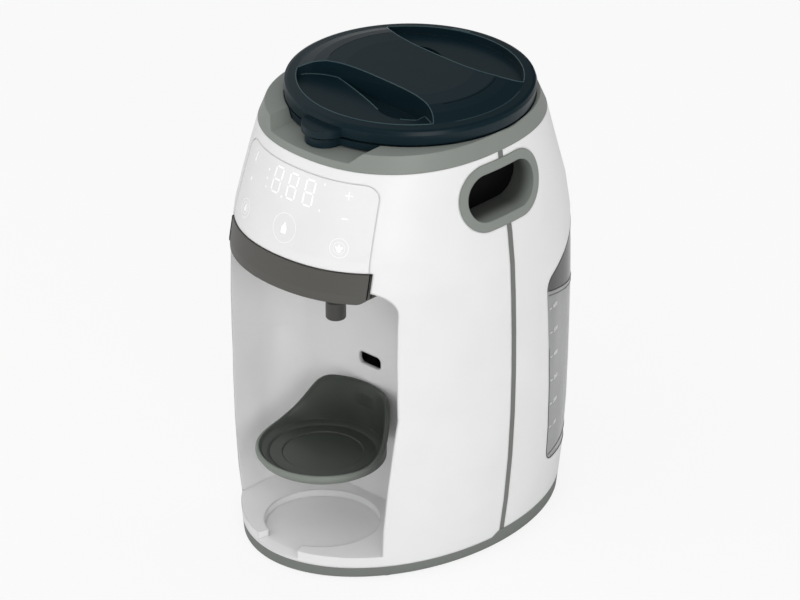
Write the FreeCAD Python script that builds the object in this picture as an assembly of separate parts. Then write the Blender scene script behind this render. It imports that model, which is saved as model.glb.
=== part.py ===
import FreeCAD, Part
import math
import os
from FreeCAD import Vector as V

# Baby formula maker. Millimetres, +Z up, front towards -Y, origin under the
# middle of the foot. Every piece is one node, written to parts/NODE.step.

# ---- driving dimensions: housing ---------------------------------------------
FOOT_H = 1.5            # rubber feet below the base pan
BASE_FRONT_Z = 9.0      # top of the grey base pan ahead of the seam
BASE_REAR_Z = 12.5      # top of the base pan behind the seam
BASE_FLOOR = 2.5        # base pan floor thickness
WALL = 2.8              # housing wall
SEAM_Y = 1.5            # middle of the side seam strips
SEAM_W = 5.0            # width of the side seam strips
SEAM_SINK = 0.3         # seam strips lie this far under the skin
COLLAR_Z = 312.0        # housing top, where the collar starts
SECTION_POINTS = 16     # points of one rounded section curve
SKIN_BANDS = 12         # bands of the outer skin, foot to collar
SKIN_CROWD = 1.5        # above 1, the bands get shorter towards the collar
INNER_BANDS = 5         # bands of the inner skin
BODY_HALF_W = 107.6     # widest half width
BODY_HALF_D = 131.5     # deepest half depth
# levels of the rounded body, scaled to the two sizes above: height, half width, half depth, middle in Y
BODY_LEVELS = [
    (1.5, 95.8, 130.0, 0.5),
    (9.0, 97.6, 131.5, 0.5),
    (40.0, 101.5, 131.5, 0.4),
    (80.0, 105.4, 130.8, 0.3),
    (130.0, 107.6, 129.5, 0.0),
    (190.0, 107.2, 129.0, 0.0),
    (240.0, 104.6, 125.4, 0.2),
    (285.0, 97.3, 111.8, 0.6),
    (312.0, 93.0, 101.9, 1.8),
]
SQUARE_LOW = 2.0        # section exponent at the foot, 2 is an ellipse
SQUARE_HIGH = 2.28      # section exponent at the collar

# ---- driving dimensions: bottle bay ------------------------------------------
BAY_FLOOR_Z = 18.0
BAY_BACK_Y = -32.0
BAY_HALF_LOW = 69.0     # half width at the floor
BAY_HALF_HIGH = 80.8    # half width from BAY_WIDE_Z up
BAY_WIDE_Z = 130.0
BAY_TOP_Z = 231.0
BAY_CORNER_LOW = 42.0   # plan corner radius at the floor
BAY_CORNER_HIGH = 24.0  # plan corner radius higher up
BAY_TOP_R = 18.5        # upper corners seen from the front
RECESS_R = 41.3         # round recess in the bay floor
RECESS_Y = -81.6
RECESS_DEPTH = 5.5
NOTCH_HALF_IN = 12.0    # drain notch, half width at the recess
NOTCH_HALF_OUT = 22.0   # drain notch, half width past the lip
NOTCH_START_Y = RECESS_Y + 0.605 * -RECESS_R
NOTCH_BEVEL_Y = -122.0  # from here the notch floor falls to the front
NOTCH_END_Y = -135.0
NOTCH_DROP = 2.6
SLOT_Z = (96.0, 126.0)  # wall slots for the bottle stand
SLOT_HALF_W = 10.5
SLOT_H = 9.6
SLOT_R = 3.6

# ---- driving dimensions: funnel drawer ---------------------------------------
COVER_LOW_Z = 222.0
COVER_HIGH_Z = 244.0
COVER_HALF_W = 66.5
COVER_PROUD = 0.8
COVER_T = 3.0
COVER_CORNER = 6.5
COVER_GAP = 0.7         # gap round the cover
DRAWER_PLATE_T = 2.5
DRAWER_HALF_W = 62.0
DRAWER_BACK_Y = -36.5
FUNNEL_Y = -66.7
FUNNEL_TOP_R = 24.0
FUNNEL_TOP_Z = 238.0
FUNNEL_NECK_Z = 207.0
FUNNEL_WALL = 2.0
SPOUT_R = 7.3
SPOUT_BORE_R = 5.0
SPOUT_LOW_Z = 174.5
SPOUT_HIGH_Z = 204.0
GUIDE_T = 2.5
GUIDE_TOP_Z = 245.0
RUN_GAP = 0.3           # clearance between flat faces of moving pieces
FIT = 0.1               # clearance of fixed pieces set into a housing

# ---- driving dimensions: bottle stand ----------------------------------------
STAND_R = 48.0
STAND_RIM_Z = 77.4
STAND_FLOOR_Z = 71.6
STAND_LOW_Z = 68.0
STAND_WALL = 3.4
STAND_BACK_Z = 110.4
TONGUE_LEN = 9.0
TONGUE_H = SLOT_H - 1.2
TONGUE_HALF_W = SLOT_HALF_W - 0.9
TONGUE_R = min(SLOT_R, TONGUE_H / 2 - 0.2)

# ---- driving dimensions: side grips ------------------------------------------
GRIP_Z = 283.0
GRIP_Y = 0.0
GRIP_HALF_L = 40.0      # bezel outline
GRIP_HALF_H = 24.0
GRIP_BAND = 7.0         # bezel width
GRIP_LINER = 1.6        # wall of the grip tube
GRIP_INNER_X = 77.0     # where the grip tube ends
GRIP_PLATE_T = 1.8      # dark back of the pocket
GRIP_PROUD = 0.6
GRIP_FLANGE_T = 1.5

# ---- driving dimensions: control panel ---------------------------------------
PANEL_LOW_Z = 245.0
PANEL_HIGH_Z = 304.0
PANEL_HALF_LOW = 65.0
PANEL_HALF_HIGH = 61.0
PANEL_CORNER = 11.0
PANEL_T = 1.4
PANEL_GAP = 0.2
PANEL_LEAN = 19.5       # degrees, lean of the display board behind the panel
DISPLAY_Z = 275.0
DISPLAY_BEHIND = 23.7518  # display board behind the front skin
DISPLAY_HALF_W = 46.0
BOARD_T = 1.6
BOARD_POST_R = 3.0

# ---- driving dimensions: collar, container and lid ---------------------------
AXIS_Y = 9.4            # powder container axis
SHELF_Z = 324.0         # collar top
SHELF_A = 88.9          # collar top outline, half width
SHELF_B = 96.5          # collar top outline, half depth
COLLAR_BORE_R = 84.6
COLLAR_SEAT_R = 88.7    # counterbore where the container flange sits
COLLAR_SEAT_Z = 318.0
DIP_FLOOR_Z = 316.8
DIP_HALF_LOW = 37.0
DIP_HALF_HIGH = 45.0
FLANGE_R = 88.2
FLANGE_TOP_Z = 323.5
HOPPER_TOP_R = 83.4
HOPPER_LOW_R = 72.0
HOPPER_FLOOR_Z = 258.0
HOPPER_FLARE_Z = 302.5  # where the container rim starts to widen
HOPPER_WALL = 2.5
DOSE_LOW_Z = 248.0      # underside of the container base
LUG_R = 14.0
LUG_Y = -77.0
WINDOW_R = (46.0, 64.0) # powder window in the container floor
WINDOW_Y = 22.0         # it starts this far behind the axis
LID_R = 89.1
LID_LOW_Z = 325.1
LID_RIM_Z = 336.0
LID_TOP_Z = 343.0
LID_TAB_R = 17.0
LID_TAB_IN = 3.7        # tab centre inside the lid edge
LID_TAB_TOP_Z = 331.0
LID_RIM_IN_R = 80.0
LID_FLOOR_Z = 331.0
LID_SKIN = 2.5
LID_POCKET_Z = 324.5
HANDLE_HALF = 27.5      # half width of the lid handle at its waist
HANDLE_HALF_END = 47.0  # half width where it meets the rim
# far edge of a finger pocket, as (x, y) from the lid centre
LID_POCKET_EDGE = [(-59.0, -27.0), (-22.0, -34.5), (8.0, -45.0), (27.0, -50.0), (38.0, -46.5), (45.0, -41.0)]
SEAL_OUT_R = 82.4
SEAL_IN_R = 78.2

# ---- driving dimensions: powder drive ----------------------------------------
SHAFT_R = 4.0
SHAFT_TOP_Z = 292.0
SHAFT_FIT = 0.05        # radial running clearance of shafts
SHAFT_PRESS = 0.04      # radial clearance of what is keyed on a shaft
GEAR_MODULE = 1.5
WHEEL_TEETH = 28
PINION_TEETH = 14
GEAR_LOW_Z = 241.0
GEAR_T = 5.5
GEAR_BACKLASH = 0.25
METER_R = 66.5
METER_LOW_Z = 251.5
METER_T = 6.0
POCKET_R = 5.5
POCKET_RING_R = 59.0
POCKETS = 12
STIR_R = 64.0
MOTOR_R = 16.0
MOTOR_L = 46.0
MOTOR_SHAFT_R = 3.0

# ---- driving dimensions: inside and back -------------------------------------
DECK_Z = 236.0
DECK_T = 3.0
FRAME_HALF_X = 64.0
FRAME_BACK_Y = 34.0
FRAME_LEG_T = 3.0
TANK_GAP = 0.5          # tank to bay, all round
TANK_WALL = 2.5
TANK_SINK = 0.2         # tank skin under the housing skin
TANK_FRONT_LOW_Y = 50.5
TANK_FRONT_HIGH_Y = 41.0
TANK_LOW_Z = 47.0
TANK_HIGH_Z = 197.0
TANK_REAR_LOW_Z = 31.0
TANK_REAR_HIGH_Z = 244.0
TANK_CORNER = 11.0
TANK_STEP_FRONT_Z = 190.0
TANK_STEP_REAR_Z = 164.0
VALVE_Z = 66.0
VALVE_R = 5.0
VALVE_BORE_R = 3.2
VALVE_FRONT_Y = 38.6
SOCKET_Y = 37.0
HEATER_X = -32.0
HEATER_Y = 6.0
HEATER_R = 17.0
HEATER_LOW_Z = 34.0
HEATER_HIGH_Z = 132.0
PUMP_X = 26.0
PUMP_Y = 6.0
TUBE_R = 3.6
TUBE_BORE_R = 2.2
HOSE_BEND = 12.0        # bend radius of the hose to the funnel
HOSE_Z = 243.2
PORT_Z = 44.0           # height of the hose between pump and heater
INLET_HALF_W = 12.5
INLET_Z = (14.5, 26.5)
INLET_SINK = 3.668      # inlet face behind the back skin
INLET_DEPTH = 22.5
WELL_HALF_W = 8.5
WELL_HALF_H = 3.6
WELL_DEPTH = 14.5
PIN_X = 4.0
PIN_R = 1.2
PIN_L = 12.0
FOOT_X = 62.0
FOOT_Y = 82.0
FOOT_R = 8.0
FAR = 170.0             # reach of cutting prisms past the body

os.makedirs("parts", exist_ok=True)
PARTS = {}


def keep(name, shape):
    """Store one piece under its node name."""
    PARTS[name] = shape


# ---- helpers -----------------------------------------------------------------
def square_at(z):
    return SQUARE_LOW + (SQUARE_HIGH - SQUARE_LOW) * z / COLLAR_Z


def level_at(z):
    """Half width, half depth and middle of the body at height z, along a smooth curve."""
    levels = BODY_LEVELS
    last = len(levels) - 2
    i = min(max(sum(1 for level in levels if level[0] <= z) - 1, 0), last)
    before, low, high, after = levels[max(i - 1, 0)], levels[i], levels[i + 1], levels[min(i + 2, last + 1)]
    rise = high[0] - low[0]
    t = (z - low[0]) / rise
    widest = max(level[1] for level in levels)
    deepest = max(level[2] for level in levels)
    scale = (None, BODY_HALF_W / widest, BODY_HALF_D / deepest, 1.0)
    found = []
    for k in (1, 2, 3):
        slope_low = (high[k] - before[k]) / (high[0] - before[0]) * rise
        slope_high = (after[k] - low[k]) / (after[0] - low[0]) * rise
        value = ((2 * t ** 3 - 3 * t * t + 1) * low[k] + (t ** 3 - 2 * t * t + t) * slope_low
                 + (3 * t * t - 2 * t ** 3) * high[k] + (t ** 3 - t * t) * slope_high)
        found.append(value * scale[k])
    return found


def front_y(z):
    a, b, mid = level_at(z)
    return mid - b


def back_y(z):
    a, b, mid = level_at(z)
    return mid + b


def section(z, a, b, mid, square):
    """Closed rounded curve, starting at the back so that its seam is there."""
    points = []
    for i in range(SECTION_POINTS):
        t = math.pi / 2 + 2 * math.pi * i / SECTION_POINTS
        c, s = math.cos(t), math.sin(t)
        x = a * math.copysign(abs(c) ** (2 / square), c)
        y = b * math.copysign(abs(s) ** (2 / square), s)
        points.append(V(x, mid + y, z))
    curve = Part.BSplineCurve()
    curve.interpolate(points, PeriodicFlag=True)
    return Part.Wire([curve.toShape()])


def body_loft(inset, bands=SKIN_BANDS):
    """The body's outer form, moved inwards by inset."""
    wires = []
    for i in range(bands + 1):
        z = COLLAR_Z - (COLLAR_Z - FOOT_H) * (1 - i / bands) ** SKIN_CROWD
        a, b, mid = level_at(z)
        wires.append(section(z, a - inset, b - inset, mid, square_at(z)))
    return Part.makeLoft(wires, True, True)


def box(x0, x1, y0, y1, z0, z1):
    return Part.makeBox(x1 - x0, y1 - y0, z1 - z0, V(x0, y0, z0))


def rod(x, y, z0, z1, r):
    return Part.makeCylinder(r, z1 - z0, V(x, y, z0))


def ring(x, y, z0, z1, r_in, r_out):
    return rod(x, y, z0, z1, r_out).cut(rod(x, y, z0, z1, r_in))


def rounded_face(points, radii):
    """Face from a closed polygon whose corners are rounded by tangent arcs."""
    count = len(points)
    starts, ends, mids = [], [], []
    for i, p in enumerate(points):
        before = (points[i - 1] - p).normalize()
        after = (points[(i + 1) % count] - p).normalize()
        r = radii[i]
        if r <= 0:
            starts.append(p)
            ends.append(p)
            mids.append(None)
            continue
        half = before.getAngle(after) / 2
        reach = r / math.tan(half)
        starts.append(p + before * reach)
        ends.append(p + after * reach)
        bisect = (before + after).normalize()
        mids.append(p + bisect * (r / math.sin(half) - r))
    edges = []
    for i in range(count):
        if mids[i] is not None:
            edges.append(Part.Arc(starts[i], mids[i], ends[i]).toShape())
        nxt = (i + 1) % count
        if (ends[i] - starts[nxt]).Length > 1e-6:
            edges.append(Part.makeLine(ends[i], starts[nxt]))
    return Part.Face(Part.Wire(edges))


def front_prism(points, radii, y0, y1):
    """Prism along Y from (x, z) points."""
    face = rounded_face([V(x, y0, z) for x, z in points], radii)
    return face.extrude(V(0, y1 - y0, 0))


def side_prism(points, radii, x0, x1):
    """Prism along X from (y, z) points."""
    face = rounded_face([V(x0, y, z) for y, z in points], radii)
    return face.extrude(V(x1 - x0, 0, 0))


def plan_prism(points, radii, z0, z1):
    """Prism along Z from (x, y) points."""
    face = rounded_face([V(x, y, z0) for x, y in points], radii)
    return face.extrude(V(0, 0, z1 - z0))


def turned(profile, x=0.0, y=0.0):
    """Revolve a closed (r, z) outline about the vertical axis at x, y."""
    points = [V(x + r, y, z) for r, z in profile]
    face = Part.Face(Part.makePolygon(points + [points[0]]))
    return face.revolve(V(x, y, 0), V(0, 0, 1), 360)


def stadium(half_l, half_h, x0, x1):
    """Prism along X with round ends, centred on the grip."""
    flat = half_l - half_h
    y0, y1 = GRIP_Y - flat, GRIP_Y + flat
    low, high = GRIP_Z - half_h, GRIP_Z + half_h
    edges = [
        Part.makeLine(V(x0, y0, low), V(x0, y1, low)),
        Part.Arc(V(x0, y1, low), V(x0, y1 + half_h, GRIP_Z), V(x0, y1, high)).toShape(),
        Part.makeLine(V(x0, y1, high), V(x0, y0, high)),
        Part.Arc(V(x0, y0, high), V(x0, y0 - half_h, GRIP_Z), V(x0, y0, low)).toShape(),
    ]
    return Part.Face(Part.Wire(edges)).extrude(V(x1 - x0, 0, 0))


def tube(points, bend, r_out, r_in):
    """Hose along straight runs joined by round bends."""
    solids = []
    for r in (r_out, r_in):
        pieces = []
        at = points[0]
        for i in range(1, len(points) - 1):
            p = points[i]
            before = (points[i - 1] - p).normalize()
            after = (points[i + 1] - p).normalize()
            turn = math.pi - before.getAngle(after)
            reach = bend * math.tan(turn / 2)
            start = p + before * reach
            centre = p + (before + after).normalize() * (bend / math.cos(turn / 2))
            pieces.append(Part.makeCylinder(r, (start - at).Length, at, before * -1))
            disc = Part.Face(Part.Wire([Part.makeCircle(r, start, before)]))
            pieces.append(disc.revolve(centre, after.cross(before), math.degrees(turn)))
            at = p + after * reach
        pieces.append(Part.makeCylinder(r, (points[-1] - at).Length, at, points[-1] - at))
        solids.append(pieces[0].fuse(pieces[1:]).removeSplitter() if len(pieces) > 1 else pieces[0])
    return solids[0].cut(solids[1])


def gear(teeth, z0, thick, bore, phase=0.0):
    """Involute spur gear about the Z axis at the origin."""
    pressure = math.radians(20)
    pitch_r = GEAR_MODULE * teeth / 2
    base_r = pitch_r * math.cos(pressure)
    tip_r = pitch_r + GEAR_MODULE
    root_r = pitch_r - 1.25 * GEAR_MODULE
    half_pitch = (math.pi / 2 - GEAR_BACKLASH / GEAR_MODULE) / teeth
    inv_pitch = math.tan(pressure) - pressure
    flank_r = [max(base_r, root_r) + f * (tip_r - max(base_r, root_r)) for f in (0.0, 0.35, 0.7, 1.0)]

    def half_angle(r):
        a = math.acos(min(1.0, base_r / r))
        return half_pitch + inv_pitch - (math.tan(a) - a)

    points = []
    for i in range(teeth):
        mid = phase + 2 * math.pi * i / teeth
        radii = [root_r] + flank_r
        rising = [(r, mid - half_angle(max(r, base_r))) for r in radii]
        falling = [(r, mid + half_angle(max(r, base_r))) for r in reversed(radii)]
        points += [V(r * math.cos(t), r * math.sin(t), z0) for r, t in rising + falling]
    face = Part.Face(Part.makePolygon(points + [points[0]]))
    return face.extrude(V(0, 0, thick)).cut(rod(0, 0, z0, z0 + thick, bore))


# ---- shared forms ------------------------------------------------------------
OUTER = body_loft(0.0)
INNER = body_loft(WALL, INNER_BANDS)
BASE_TOP = side_prism(
    [(-FAR, -10), (FAR, -10), (FAR, BASE_REAR_Z), (SEAM_Y - 3.5, BASE_REAR_Z),
     (SEAM_Y - 9.5, BASE_FRONT_Z), (-FAR, BASE_FRONT_Z)],
    [0] * 6, -FAR, FAR)
FRONT_HALF = box(-FAR, FAR, -FAR, SEAM_Y - SEAM_W / 2, 0, COLLAR_Z)
REAR_HALF = box(-FAR, FAR, SEAM_Y + SEAM_W / 2, FAR, 0, COLLAR_Z)
GRIP_HOLE_L = GRIP_HALF_L - GRIP_BAND
GRIP_HOLE_H = GRIP_HALF_H - GRIP_BAND


def bay_form(grow):
    """The bay's space, grown by grow on its walls and floor."""
    def plan(z, half, corner):
        back = BAY_BACK_Y + grow
        corner = corner + grow
        half = half + grow
        points = [V(-half, -FAR, z), V(half, -FAR, z), V(half, back, z), V(-half, back, z)]
        return rounded_face(points, [0, 0, corner, corner]).OuterWire

    low_z = BAY_FLOOR_Z - grow
    wires = [plan(low_z, BAY_HALF_LOW, BAY_CORNER_LOW), plan(BAY_WIDE_Z, BAY_HALF_HIGH, BAY_CORNER_HIGH)]
    lower = Part.makeLoft(wires, True, True)
    high_z = BAY_TOP_Z + grow
    upper_face = Part.Face(plan(BAY_WIDE_Z, BAY_HALF_HIGH, BAY_CORNER_HIGH))
    upper = upper_face.extrude(V(0, 0, high_z - BAY_WIDE_Z))
    half = BAY_HALF_HIGH + grow
    arch = front_prism([(-half, BAY_WIDE_Z), (half, BAY_WIDE_Z), (half, high_z), (-half, high_z)],
                       [0, 0, BAY_TOP_R, BAY_TOP_R], -FAR, 0)
    return lower.fuse(upper.common(arch)).removeSplitter()


def recess_form(grow):
    """Round recess in the bay floor and the drain notch that opens it to the front, grown by grow."""
    floor = BAY_FLOOR_Z - RECESS_DEPTH - grow
    top = BAY_FLOOR_Z + 1
    cup = rod(0, RECESS_Y, floor, top, RECESS_R + grow)
    half_in, half_out = NOTCH_HALF_IN + grow, NOTCH_HALF_OUT + grow
    plan = plan_prism([(-half_in, NOTCH_START_Y), (-half_out, NOTCH_END_Y),
                       (half_out, NOTCH_END_Y), (half_in, NOTCH_START_Y)], [0] * 4, 0, top)
    run = side_prism([(NOTCH_START_Y, top), (NOTCH_START_Y, floor), (NOTCH_BEVEL_Y, floor),
                      (NOTCH_END_Y, floor - NOTCH_DROP), (NOTCH_END_Y, top)], [0] * 5, -FAR, FAR)
    return cup.fuse(plan.common(run))


def tank_form(grow):
    """The tank's space as a prism along X, grown by grow."""
    slope_low = (TANK_REAR_LOW_Z - TANK_LOW_Z) / (FAR - TANK_FRONT_LOW_Y)
    points = [
        (TANK_FRONT_LOW_Y - grow, TANK_LOW_Z - grow),
        (FAR, TANK_REAR_LOW_Z - grow + slope_low),
        (FAR, TANK_REAR_HIGH_Z + grow),
        (TANK_FRONT_HIGH_Y - grow, TANK_HIGH_Z + grow),
    ]
    corner = TANK_CORNER + grow
    return side_prism(points, [corner, 0, 0, corner], -FAR, FAR)


def skin(shape, outer, inner):
    """The part of the body's skin inside shape, between two insets."""
    return body_loft(outer).common(shape).cut(body_loft(inner))


def drawer_tunnel():
    """Opening for the funnel drawer, from the front skin to its back stop."""
    half = COVER_HALF_W + COVER_GAP
    low = BAY_TOP_Z - 12
    high = COVER_HIGH_Z + COVER_GAP
    return box(-half, half, -FAR, BAY_BACK_Y, low, high)


# ---- housing -----------------------------------------------------------------
def housing():
    bay_cut = bay_form(0.0).fuse(recess_form(0.0))
    block = bay_form(WALL).fuse(recess_form(WALL))
    hollow = INNER.cut(block)
    tank_bay = tank_form(TANK_GAP)
    rear_hollow = INNER.cut(tank_form(TANK_GAP + WALL))
    grip_holes = []
    for side in (-1, 1):
        x0, x1 = sorted((side * 60, side * FAR))
        grip_holes.append(stadium(GRIP_HOLE_L + GRIP_LINER + FIT, GRIP_HOLE_H + GRIP_LINER + FIT, x0, x1))
    flanges = [skin(stadium(GRIP_HALF_L + FIT, GRIP_HALF_H + FIT, *sorted((s * 60, s * FAR))),
                    -1, GRIP_FLANGE_T + FIT) for s in (-1, 1)]

    front = OUTER.common(FRONT_HALF).cut(BASE_TOP).cut(hollow).cut(bay_cut)
    front = front.cut(drawer_tunnel())
    front = front.cut(skin(panel_prism(PANEL_GAP), -1, PANEL_T))
    for z in SLOT_Z:
        low, high = z - SLOT_H / 2, z + SLOT_H / 2
        front = front.cut(front_prism(
            [(-SLOT_HALF_W, low), (SLOT_HALF_W, low), (SLOT_HALF_W, high), (-SLOT_HALF_W, high)],
            [SLOT_R] * 4, BAY_BACK_Y - 1, BAY_BACK_Y + WALL + 1))
    front = front.cut(grip_holes + flanges)
    keep("front_shell", front)

    rear = OUTER.common(REAR_HALF).cut(BASE_TOP).cut(rear_hollow).cut(tank_bay)
    inlet_y = back_y(INLET_Z[0]) - INLET_SINK - INLET_DEPTH
    rear = rear.cut(box(-INLET_HALF_W, INLET_HALF_W, inlet_y, FAR, INLET_Z[0], INLET_Z[1]))
    rear = rear.cut(grip_holes + flanges)
    nozzle_hole = Part.makeCylinder(VALVE_R + 3.2, 20, V(0, 38, VALVE_Z), V(0, 1, 0))
    keep("rear_shell", rear.cut(nozzle_hole))

    pan_hollow = INNER.cut(box(-FAR, FAR, -FAR, FAR, 0, FOOT_H + BASE_FLOOR))
    keep("base_pan", OUTER.common(BASE_TOP).cut(pan_hollow))

    seam_box = box(-FAR, FAR, SEAM_Y - SEAM_W / 2, SEAM_Y + SEAM_W / 2, 0, COLLAR_Z)
    strip = body_loft(SEAM_SINK).common(seam_box).cut(INNER).cut(BASE_TOP)
    strip = strip.cut([stadium(GRIP_HALF_L, GRIP_HALF_H, -FAR, -60),
                       stadium(GRIP_HALF_L, GRIP_HALF_H, 60, FAR)])
    keep("seam_strip_left", strip.common(box(-FAR, 0, -FAR, FAR, 0, COLLAR_Z)))
    keep("seam_strip_right", strip.common(box(0, FAR, -FAR, FAR, 0, COLLAR_Z)))


def grips():
    for name, side in (("left", -1), ("right", 1)):
        x0, x1 = sorted((side * GRIP_INNER_X, side * FAR))
        hole = stadium(GRIP_HOLE_L, GRIP_HOLE_H, *sorted((side * 60, side * FAR)))
        flange = skin(stadium(GRIP_HALF_L, GRIP_HALF_H, x0, x1), -GRIP_PROUD, GRIP_FLANGE_T)
        liner = stadium(GRIP_HOLE_L + GRIP_LINER, GRIP_HOLE_H + GRIP_LINER, x0, x1)
        liner = liner.common(body_loft(GRIP_FLANGE_T / 2, INNER_BANDS))
        keep("grip_bezel_" + name, flange.fuse(liner).cut(hole).removeSplitter())
        p0, p1 = sorted((side * GRIP_INNER_X, side * (GRIP_INNER_X - GRIP_PLATE_T)))
        keep("grip_pocket_" + name, stadium(GRIP_HOLE_L + GRIP_LINER, GRIP_HOLE_H + GRIP_LINER, p0, p1))


def panel_prism(grow):
    low, high = PANEL_LOW_Z, PANEL_HIGH_Z + grow
    points = [(-PANEL_HALF_LOW - grow, low), (PANEL_HALF_LOW + grow, low),
              (PANEL_HALF_HIGH + grow, high), (-PANEL_HALF_HIGH - grow, high)]
    return front_prism(points, [0, 0, PANEL_CORNER, PANEL_CORNER], -FAR, -40)


def control_panel():
    keep("control_panel", skin(panel_prism(0.0), 0, PANEL_T - FIT))
    half = DISPLAY_HALF_W
    board = box(-half, half, -BOARD_T, 0, -20, 20)
    board = board.fuse(box(-24, 24, -BOARD_T - 3.4, -BOARD_T, 4, 18))
    for x in (8 - half, half - 8):
        for z in (-15, 15):
            board = board.fuse(Part.makeCylinder(BOARD_POST_R, 25, V(x, -25 - BOARD_T, z), V(0, 1, 0)))
    board.rotate(V(0, 0, 0), V(1, 0, 0), -PANEL_LEAN)
    board.translate(V(0, front_y(DISPLAY_Z) + DISPLAY_BEHIND, DISPLAY_Z))
    keep("display_board", board.common(body_loft(WALL + FIT, INNER_BANDS)))


# ---- collar, container, lid --------------------------------------------------
def collar():
    a, b, mid = level_at(COLLAR_Z)
    low = section(COLLAR_Z, a, b, mid, square_at(COLLAR_Z))
    high = section(SHELF_Z, SHELF_A, SHELF_B, mid, square_at(COLLAR_Z))
    body = Part.makeLoft([low, high], True, True)
    body = body.cut(rod(0, AXIS_Y, COLLAR_Z - 1, SHELF_Z + 1, COLLAR_BORE_R))
    body = body.cut(rod(0, AXIS_Y, COLLAR_SEAT_Z, SHELF_Z + 1, COLLAR_SEAT_R))
    dip = front_prism([(-DIP_HALF_LOW, DIP_FLOOR_Z), (DIP_HALF_LOW, DIP_FLOOR_Z),
                       (DIP_HALF_HIGH, SHELF_Z + 0.5), (-DIP_HALF_HIGH, SHELF_Z + 0.5)],
                      [0] * 4, -FAR, -50)
    keep("top_collar", body.cut(dip))


def container():
    w = HOPPER_WALL
    floor = HOPPER_FLOOR_Z
    shaft = SHAFT_R + SHAFT_FIT
    cup = turned([(shaft, floor), (HOPPER_LOW_R, floor), (HOPPER_LOW_R, HOPPER_FLARE_Z),
                  (HOPPER_LOW_R - w, HOPPER_FLARE_Z), (HOPPER_LOW_R - w, floor + w),
                  (shaft, floor + w)], 0, AXIS_Y)
    window = ring(0, AXIS_Y, floor - 1, floor + w + 1, WINDOW_R[0], WINDOW_R[1])
    window = window.common(box(-FAR, FAR, AXIS_Y + WINDOW_Y, FAR, floor - 2, floor + w + 2))
    keep("powder_container", cup.cut(window))
    # the rim hangs in the collar by its flange and carries the lug under the lid's tab
    rim = turned([(HOPPER_LOW_R, HOPPER_FLARE_Z), (HOPPER_TOP_R, COLLAR_Z - 1.5),
                  (HOPPER_TOP_R, COLLAR_SEAT_Z + RUN_GAP), (FLANGE_R, COLLAR_SEAT_Z + RUN_GAP),
                  (FLANGE_R, FLANGE_TOP_Z), (HOPPER_TOP_R - w, FLANGE_TOP_Z), (HOPPER_TOP_R - w, COLLAR_Z - 0.5),
                  (HOPPER_LOW_R - w, HOPPER_FLARE_Z + 1), (HOPPER_LOW_R - w, HOPPER_FLARE_Z)], 0, AXIS_Y)
    lug = rod(0, LUG_Y, DIP_FLOOR_Z + RUN_GAP + 0.2, FLANGE_TOP_Z, LUG_R)
    lug = lug.cut(rod(0, AXIS_Y, DIP_FLOOR_Z, SHELF_Z, FLANGE_R - 1))
    keep("container_rim", rim.fuse(lug).removeSplitter())
    low = DOSE_LOW_Z
    base = turned([(shaft, low), (HOPPER_LOW_R, low), (HOPPER_LOW_R, floor), (HOPPER_LOW_R - w, floor),
                   (HOPPER_LOW_R - w, low + 3), (shaft, low + 3)], 0, AXIS_Y)
    outlet = rod(0, AXIS_Y - POCKET_RING_R, low - 1, low + 4, POCKET_R + 1)
    keep("container_base", base.cut(outlet))


def drive():
    top = SHAFT_TOP_Z
    keep("wheel_shaft", turned([(0, GEAR_LOW_Z), (SHAFT_R, GEAR_LOW_Z), (SHAFT_R, top - 1),
                                (SHAFT_R - 1, top), (0, top)], 0, AXIS_Y))
    meter = rod(0, AXIS_Y, METER_LOW_Z, METER_LOW_Z + METER_T, METER_R)
    meter = meter.cut(rod(0, AXIS_Y, METER_LOW_Z - 1, METER_LOW_Z + METER_T + 1, SHAFT_R + SHAFT_PRESS))
    for i in range(POCKETS):
        t = 2 * math.pi * (i + 0.25) / POCKETS
        x, y = POCKET_RING_R * math.cos(t), AXIS_Y + POCKET_RING_R * math.sin(t)
        meter = meter.cut(rod(x, y, METER_LOW_Z - 1, METER_LOW_Z + METER_T + 1, POCKET_R))
    keep("metering_wheel", meter)
    low = HOPPER_FLOOR_Z + HOPPER_WALL + RUN_GAP
    stir = rod(0, AXIS_Y, low, low + 30, 9)
    for angle in (0, 120, 240):
        arm = box(0, STIR_R, -2.5, 2.5, low, low + 6)
        fin = box(STIR_R - 4, STIR_R, -2.5, 2.5, low + 6, low + 26)
        rung = box(0, STIR_R, -2.0, 2.0, low + 22, low + 26)
        piece = arm.fuse([fin, rung])
        piece.rotate(V(0, 0, 0), V(0, 0, 1), angle + 30)
        piece.translate(V(0, AXIS_Y, 0))
        stir = stir.fuse(piece)
    keep("stirrer", stir.cut(rod(0, AXIS_Y, low - 1, low + 40, SHAFT_R + SHAFT_PRESS)).removeSplitter())
    distance = GEAR_MODULE * (WHEEL_TEETH + PINION_TEETH) / 2
    wheel = gear(WHEEL_TEETH, GEAR_LOW_Z, GEAR_T, SHAFT_R + SHAFT_PRESS)
    wheel.translate(V(0, AXIS_Y, 0))
    keep("wheel_gear", wheel)
    pinion = gear(PINION_TEETH, GEAR_LOW_Z, GEAR_T, MOTOR_SHAFT_R + SHAFT_FIT, math.pi / PINION_TEETH)
    pinion.translate(V(distance, AXIS_Y, 0))
    keep("drive_pinion", pinion)
    motor = rod(distance, AXIS_Y, DECK_Z - MOTOR_L, DECK_Z, MOTOR_R)
    motor = motor.fuse([
        rod(distance, AXIS_Y, DECK_Z, DECK_Z + DECK_T - 0.3, 6),
        rod(distance, AXIS_Y, DECK_Z, GEAR_LOW_Z + GEAR_T, MOTOR_SHAFT_R),
        rod(distance, AXIS_Y, DECK_Z - MOTOR_L - 5, DECK_Z - MOTOR_L, 5)])
    keep("gear_motor", motor.removeSplitter())


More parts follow.
